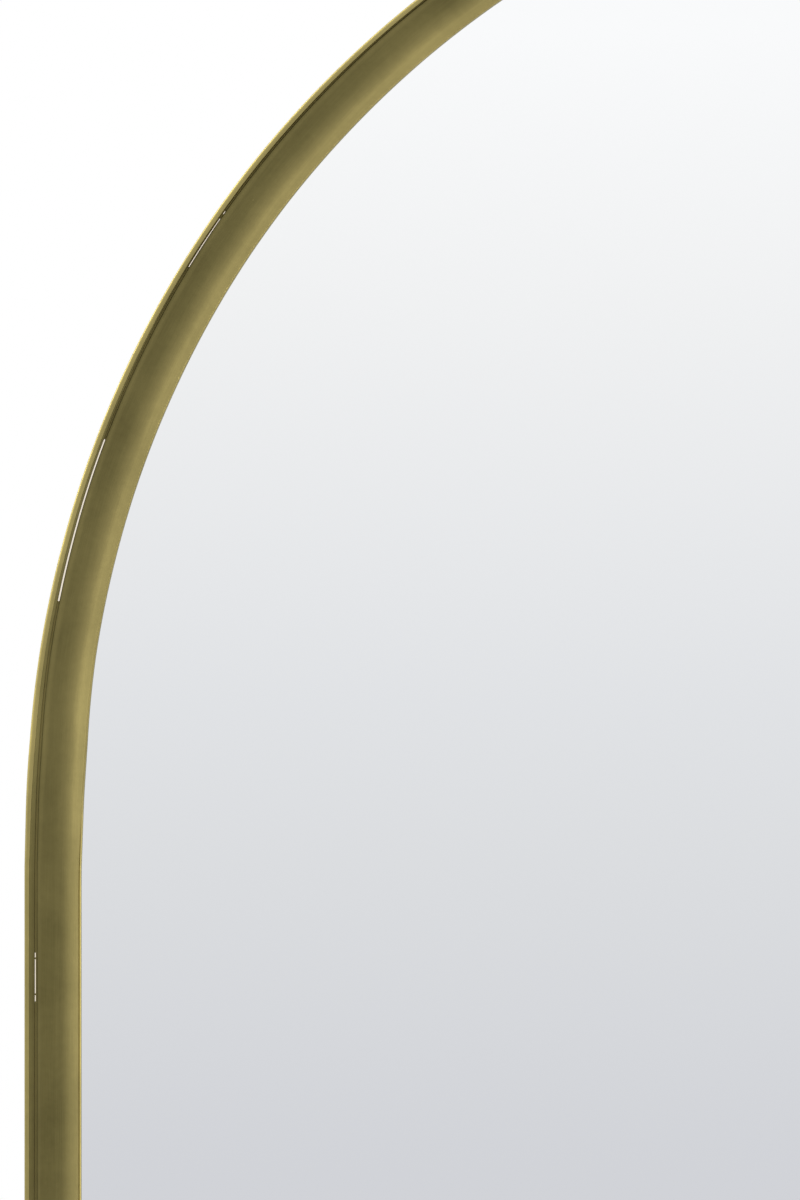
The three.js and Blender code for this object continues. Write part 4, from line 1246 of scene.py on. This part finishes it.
def softened(node, radius, material, segments=2):
    """A bevelled copy of an engineering solid, in its place."""
    source = frame["nodes"][node]
    piece = place_in_scene(node + "_finished", source.data.copy())
    mesh = piece.data
    if "custom_normal" in mesh.attributes:
        mesh.attributes.remove(mesh.attributes["custom_normal"])
    mesh.materials.clear()
    mesh.materials.append(material)
    work = bmesh.new()
    work.from_mesh(mesh)
    bmesh.ops.remove_doubles(work, verts=work.verts, dist=WELD)
    bmesh.ops.dissolve_limit(work, angle_limit=SAME_FACE, verts=work.verts, edges=work.edges)
    work.to_mesh(mesh)
    work.free()
    edges = piece.modifiers.new("soft_edges", "BEVEL")
    edges.width = radius * MM
    edges.segments = segments
    edges.limit_method = "ANGLE"
    edges.angle_limit = BEVEL_FROM
    edges.use_clamp_overlap = True
    plain(piece, 34, leaned=False)
    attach(piece, source["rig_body"])
    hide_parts(node)
    return piece


# %% Straps, brackets, bolts and rail
for hand in ("left", "right"):
    softened(f"hanger_strap_{hand}", 0.25, zinc_sheet)
    softened(f"stand_bracket_{hand}", 0.4, zinc_sheet)
    softened(f"pivot_bolt_{hand}", 0.35, zinc_wire, 3)
rail = softened("hanger_rail", 0.5, zinc_sheet, 3)
RAIL_SHORTER = 375.9 / 377.5  # its ends stay clear of the slit, so that light still comes through
for point in rail.data.vertices:
    point.co.x *= RAIL_SHORTER
print("the rail is", round(max(point.co.x for point in rail.data.vertices) * 2 / MM, 1), "mm long")

# %% [markdown]
# ## Rubber bumpers and feet
# The two bumpers on the back and the two wedge feet are moulded in a firmer rubber than the gasket. It
# has a soft sheen and generous rounds, as moulded parts do.

# %% Bumpers and feet
moulded_rubber = rubber("moulded_rubber", "#1B1B1D", 0.6, 0.8)
for hand in ("left", "right"):
    softened(f"wall_bumper_{hand}", 0.8, moulded_rubber, 4)
    softened(f"floor_foot_{hand}", 0.5, moulded_rubber, 3)
print("two bumpers and two feet")

# %% [markdown]
# ## Backing board
# The back is closed by a sheet of brown fibreboard, pressed from wood fibres. Close up it is a felt of
# short pale and dark hairs; from afar it is cloudy brown. Three stretched noises, each turned another way,
# make the hairs.

# %% Fibreboard's hairs
fibreboard, tree, place = start_material("pressed_fibreboard")
HAIR = 0.6  # mm wide; real fibres are finer, this is as coarse as shows
hairs = None
for turn_degrees in (12, 74, -47):
    turned = add_node(tree, "ShaderNodeVectorRotate", {
        "Vector": place, "Angle": math.radians(turn_degrees),
    }, rotation_type="Y_AXIS").outputs[0]
    laid = add_node(tree, "ShaderNodeMapping", {
        "Vector": turned, "Scale": (1 / (6 * MM), 1 / (HAIR * MM), 1 / (HAIR * MM)),
    }).outputs[0]
    felt = add_node(tree, "ShaderNodeTexNoise", {
        "Vector": laid, "Scale": 1.0, "Detail": 2.0, "Roughness": 0.5,
    }).outputs["Fac"]
    hairs = felt if hairs is None else add_node(tree, "ShaderNodeMath", {
        0: hairs, 1: felt,
    }, operation="MAXIMUM").outputs[0]
print("three lays of hairs,", HAIR, "mm wide")

# %% Fibreboard's colour, and the board
clouding = add_node(tree, "ShaderNodeTexNoise", {
    "Vector": place, "Scale": 1 / (90 * MM), "Detail": 3.0,
}).outputs["Fac"]
depth = add_node(tree, "ShaderNodeMath", {
    0: clouding, 1: 0.35, 2: hairs,
}, operation="MULTIPLY_ADD").outputs[0]
brown = add_node(tree, "ShaderNodeValToRGB", {"Fac": depth})
set_stops(brown, [(0.62, "#64492D"), (0.78, "#7B5D3F"), (0.96, "#9C7D58")])
bump = add_node(tree, "ShaderNodeBump", {
    "Strength": 0.4, "Distance": 0.15 * MM, "Height": hairs,
}).outputs[0]
shader = add_node(tree, "ShaderNodeBsdfPrincipled", {
    "Base Color": brown.outputs["Color"], "Roughness": 0.82, "IOR": 1.45, "Normal": bump,
}).outputs[0]
add_node(tree, "ShaderNodeOutputMaterial", {"Surface": shader})
softened("backing_board", 0.6, fibreboard)

# %% [markdown]
# ## The hidden layers
# A thin foam sheet lies between glass and board, and angle keys sit in the corners of the moulding. They
# hardly show, so they keep their engineering shape and only get their finish. Foam is a mass of bubbles,
# so its surface is a fine cell pattern.

# %% Foam and keys
foam, tree, place = start_material("closed_cell_foam")
bubbles = add_node(tree, "ShaderNodeTexVoronoi", {
    "Vector": place, "Scale": 1 / (0.8 * MM),
}).outputs["Distance"]
pale = add_node(tree, "ShaderNodeValToRGB", {"Fac": bubbles})
set_stops(pale, [(0.0, "#C9CAC6"), (0.6, "#E6E6E2")])
bump = add_node(tree, "ShaderNodeBump", {
    "Strength": 0.5, "Distance": 0.1 * MM, "Height": bubbles,
}).outputs[0]
shader = add_node(tree, "ShaderNodeBsdfPrincipled", {
    "Base Color": pale.outputs["Color"], "Roughness": 0.9, "IOR": 1.4, "Normal": bump,
}).outputs[0]
add_node(tree, "ShaderNodeOutputMaterial", {"Surface": shader})

# %% Finishes on the carried-over solids
for node, finish in (
    ("foam_sheet", foam), ("corner_key_left", zinc_sheet), ("corner_key_right", zinc_sheet),
):
    slots = frame["nodes"][node].data.materials
    slots.clear()
    slots.append(finish)
    print(node, "in", finish.name)

# %% [markdown]
# ## Round bars along a route
# The hanger rings and the prop stand are both a round bar bent along a route. The route is a chain of
# points with rounded corners. A tree turns it into a tube. Each point also says how far the bar may reach
# from its core: where the stand's ends are pressed flat for the bolt, it may reach only 2 mm sideways.

# %% The bar tree
def bar_tree():
    """Geometry nodes: a round bar along a chain of points, flat where they give it less room."""
    tree, given = start_tree("bar_along_a_route", {"Radius": "Float", "Sides": "Int", "Material": "Material"})
    core, room = [
        add_node(tree, "GeometryNodeInputNamedAttribute", {"Name": name}, data_type="FLOAT_VECTOR").outputs[0]
        for name in ("core", "room")
    ]
    route = add_node(tree, "GeometryNodeMeshToCurve", {"Mesh": given["Geometry"]}).outputs[0]
    ring = add_node(tree, "GeometryNodeCurvePrimitiveCircle", {
        "Resolution": given["Sides"], "Radius": given["Radius"],
    }).outputs[0]
    bar = add_node(tree, "GeometryNodeCurveToMesh", {
        "Curve": route, "Profile Curve": ring, "Fill Caps": True,
    }).outputs[0]
    here = add_node(tree, "GeometryNodeInputPosition").outputs[0]
    other_way = add_node(tree, "ShaderNodeVectorMath", {0: room, "Scale": -1.0}, operation="SCALE").outputs[0]
    held = here
    for operation, other in (("SUBTRACT", core), ("MINIMUM", room), ("MAXIMUM", other_way), ("ADD", core)):
        held = add_node(tree, "ShaderNodeVectorMath", {0: held, 1: other}, operation=operation).outputs[0]
    shaped = add_node(tree, "GeometryNodeSetPosition", {"Geometry": bar, "Position": held}).outputs[0]
    return end_tree(tree, shaped, given["Material"])


bending = bar_tree()

# %% [markdown]
# ### Bends
# A wire bender makes straight runs and round bends, and the route is written in the same way: corners in
# one plane, each with its bend radius. A Bezier curve would bulge; a fan of points on a true arc keeps
# the radius.

# %% A route with round corners
def rounded_route(corners, steps=10):
    """Points along a chain of (x, z, bend radius) corners in mm, in the XZ plane."""
    points = []
    for i, (x, z, radius) in enumerate(corners):
        here = Vector((x, z))
        if not radius:
            points.append(here)
            continue
        back = Vector(corners[i - 1][:2]) - here
        ahead = Vector(corners[i + 1][:2]) - here
        half_turn = back.angle(ahead) / 2
        setback = radius / math.tan(half_turn)
        middle = here + (back.normalized() + ahead.normalized()).normalized() * radius / math.sin(half_turn)
        start = here + back.normalized() * setback - middle
        swing = start.angle_signed(here + ahead.normalized() * setback - middle)
        for step in range(steps + 1):
            spoke = start.copy()
            spoke.rotate(Matrix.Rotation(-swing * step / steps, 2))
            points.append(middle + spoke)
    return [Vector((p.x * MM, 0, p.y * MM)) for p in points]


print("a bend has", len(rounded_route([(0, 0, 0), (50, 0, 20), (50, 50, 0)])) - 2, "points")

# %% A bar along a route
def bent_bar(name, points, radius, sides, material, matrix, room=None):
    """A bar of a radius in mm along the points, moved into place by a matrix."""
    mesh = bpy.data.meshes.new(name)
    mesh.from_pydata(points, [(i, i + 1) for i in range(len(points) - 1)], [])
    room = room or [(1, 1, 1)] * len(points)
    for column, vectors in (("core", points), ("room", room)):
        values = [value for vector in vectors for value in vector]
        mesh.attributes.new(column, "FLOAT_VECTOR", "POINT").data.foreach_set("vector", values)
    piece = place_in_scene(name, mesh)
    run_tree(piece, bending, {"Radius": radius * MM, "Sides": sides, "Material": material})
    plain(piece, 42, leaned=False)
    piece.data.transform(matrix)
    return piece


# %% [markdown]
# ## Hanger rings
# Two D-rings of zinc-plated wire hang in their straps. The straight side lies in the strap's fold, where
# the two ends of the wire meet with a hair's gap.

# %% D-rings
WIRE_RADIUS = 1.25
joints = {joint["name"]: joint for joint in frame["joints"]}
d_shape = rounded_route([
    (0.2, 0, 0), (10, 0, 3), (10, -18, 9.5), (-10, -18, 9.5), (-10, 0, 3), (-0.2, 0, 0),
])
for hand in ("left", "right"):
    pin = Vector(joints[f"ring_{hand}_swing"]["pos_m"])
    ring = bent_bar(f"hanger_ring_{hand}_wire", d_shape, WIRE_RADIUS, 16, zinc_wire, Matrix.Translation(pin))
    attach(ring, f"ring_{hand}")
    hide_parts(f"hanger_ring_{hand}")

# %% [markdown]
# ## Powder coat
# The prop stand is steel with a satin black powder coat. Powder melts into a skin with a very shallow
# orange-peel texture, a millimetre or two across, which breaks up its highlights.

# %% Powder coat
def powder_coat(name, code, peel):
    """Satin black powder coat with a shallow orange peel."""
    made, tree, place = start_material(name)
    skin = add_node(tree, "ShaderNodeTexNoise", {
        "Vector": place, "Scale": 1 / (peel * MM), "Detail": 1.0,
    }).outputs["Fac"]
    dust = add_node(tree, "ShaderNodeTexNoise", {
        "Vector": place, "Scale": 1 / (60 * MM), "Detail": 4.0,
    }).outputs["Fac"]
    ramp = add_node(tree, "ShaderNodeValToRGB", {"Fac": dust})
    set_stops(ramp, [(0.35, code), (0.75, "#27272A")])
    gloss = add_node(tree, "ShaderNodeMapRange", {
        "Value": dust, "From Min": 0.3, "From Max": 0.7, "To Min": 0.36, "To Max": 0.46,
    }).outputs["Result"]
    bump = add_node(tree, "ShaderNodeBump", {
        "Strength": 0.35, "Distance": 0.04 * MM, "Height": skin,
    }).outputs[0]
    shader = add_node(tree, "ShaderNodeBsdfPrincipled", {
        "Base Color": ramp.outputs["Color"], "Roughness": gloss, "IOR": 1.5, "Normal": bump,
    }).outputs[0]
    add_node(tree, "ShaderNodeOutputMaterial", {"Surface": shader})
    return made


stand_coat = powder_coat("satin_powder_coat", "#1A1A1C", 1.6)

# %% [markdown]
# ## Prop stand
# One round bar bent to a wide U swings on two bolts inside the frame. Its ends are pressed flat for the
# bolts and rounded off. The stand is drawn hanging straight down from the bolts. It is then turned out
# until the rubber sleeves on its foot touch the floor, which an arccosine of two lengths gives.

# %% The stand's pressed ends
ARM_X = 369
ARM_LENGTH = 1137
BAR_RADIUS = 5
TANG_HALF_WIDTH = 4.5
TANG_HALF_THICK = 2
TIP_CENTRE = 5.5     # mm above the bolt's axis
TANG_END = -44       # mm, where the flat part starts to turn round
SLEEVE_RADIUS = 8


def tang_levels():
    """(height, reach sideways, reach to the edges) in mm down a pressed end, the rounded tip first."""
    levels = []
    for step in range(7):
        angle = math.radians(84 - 14 * step)
        up = TIP_CENTRE + TANG_HALF_WIDTH * math.sin(angle)
        levels.append((up, TANG_HALF_THICK, max(0.5, TANG_HALF_WIDTH * math.cos(angle))))
    levels += [(up, TANG_HALF_THICK, TANG_HALF_WIDTH) for up in (-20, TANG_END)]
    for step in range(1, 6):
        share = step / 5
        eased = share * share * (3 - 2 * share)
        levels.append((
            TANG_END - 8 * share, TANG_HALF_THICK + 3.1 * eased, TANG_HALF_WIDTH + 0.6 * eased,
        ))
    return levels


print("a pressed end has", len(tang_levels()), "levels")

# %% How the stand leans out
pivot = Vector(joints["stand_fold"]["pos_m"])
down_length = pivot.z / MM - SLEEVE_RADIUS
stand_turn = math.acos(down_length / ARM_LENGTH)
STANDING = Matrix.Translation(pivot) @ Matrix.Rotation(stand_turn, 4, "X")
print("the stand leans out by", round(math.degrees(stand_turn), 2), "degrees")

# %% The bent bar
BEND = 45
one_end = tang_levels()
bend = rounded_route([
    (-ARM_X, -60, 0), (-ARM_X, -ARM_LENGTH, BEND), (ARM_X, -ARM_LENGTH, BEND), (ARM_X, -60, 0),
], 16)
left_end = [Vector((-ARM_X * MM, 0, up * MM)) for up, sideways, edges in one_end]
right_end = [Vector((ARM_X * MM, 0, up * MM)) for up, sideways, edges in reversed(one_end)]
end_room = [(sideways * MM, edges * MM, 1) for up, sideways, edges in one_end]
hoop = bent_bar(
    "stand_bar", left_end + bend + right_end, BAR_RADIUS, 24, stand_coat, STANDING,
    end_room + [(1, 1, 1)] * len(bend) + end_room[::-1],
)
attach(hoop, "stand")
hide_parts("stand_hoop")

# %% [markdown]
# ## Stand sleeves
# Two short rubber sleeves grip the foot of the stand and keep it from sliding. Each is a turned tube with
# rounded ends that fits round the bar.

# %% Sleeves
SLEEVE_X = 250
GRIP = 0.1  # mm that the rubber bites into the bar
sleeve_half = [(SLEEVE_RADIUS, 17), (SLEEVE_RADIUS, 19), (7.6, 19.7), (6.8, 20), (BAR_RADIUS - GRIP, 20)]
sleeve_profile = [(radius, -along) for radius, along in reversed(sleeve_half)] + sleeve_half
for hand, side in (("left", -1), ("right", 1)):
    sleeve = turned_part(f"stand_sleeve_{hand}_rubber", sleeve_profile, 48)
    sleeve.data.materials.append(moulded_rubber)
    plain(sleeve, 34, leaned=False)
    on_bar = Matrix.Translation((side * SLEEVE_X * MM, 0, -ARM_LENGTH * MM))
    on_bar = on_bar @ Matrix.Rotation(math.pi / 2, 4, "Y")
    sleeve.data.transform(STANDING @ on_bar)
    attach(sleeve, "stand")
    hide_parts(f"stand_sleeve_{hand}")
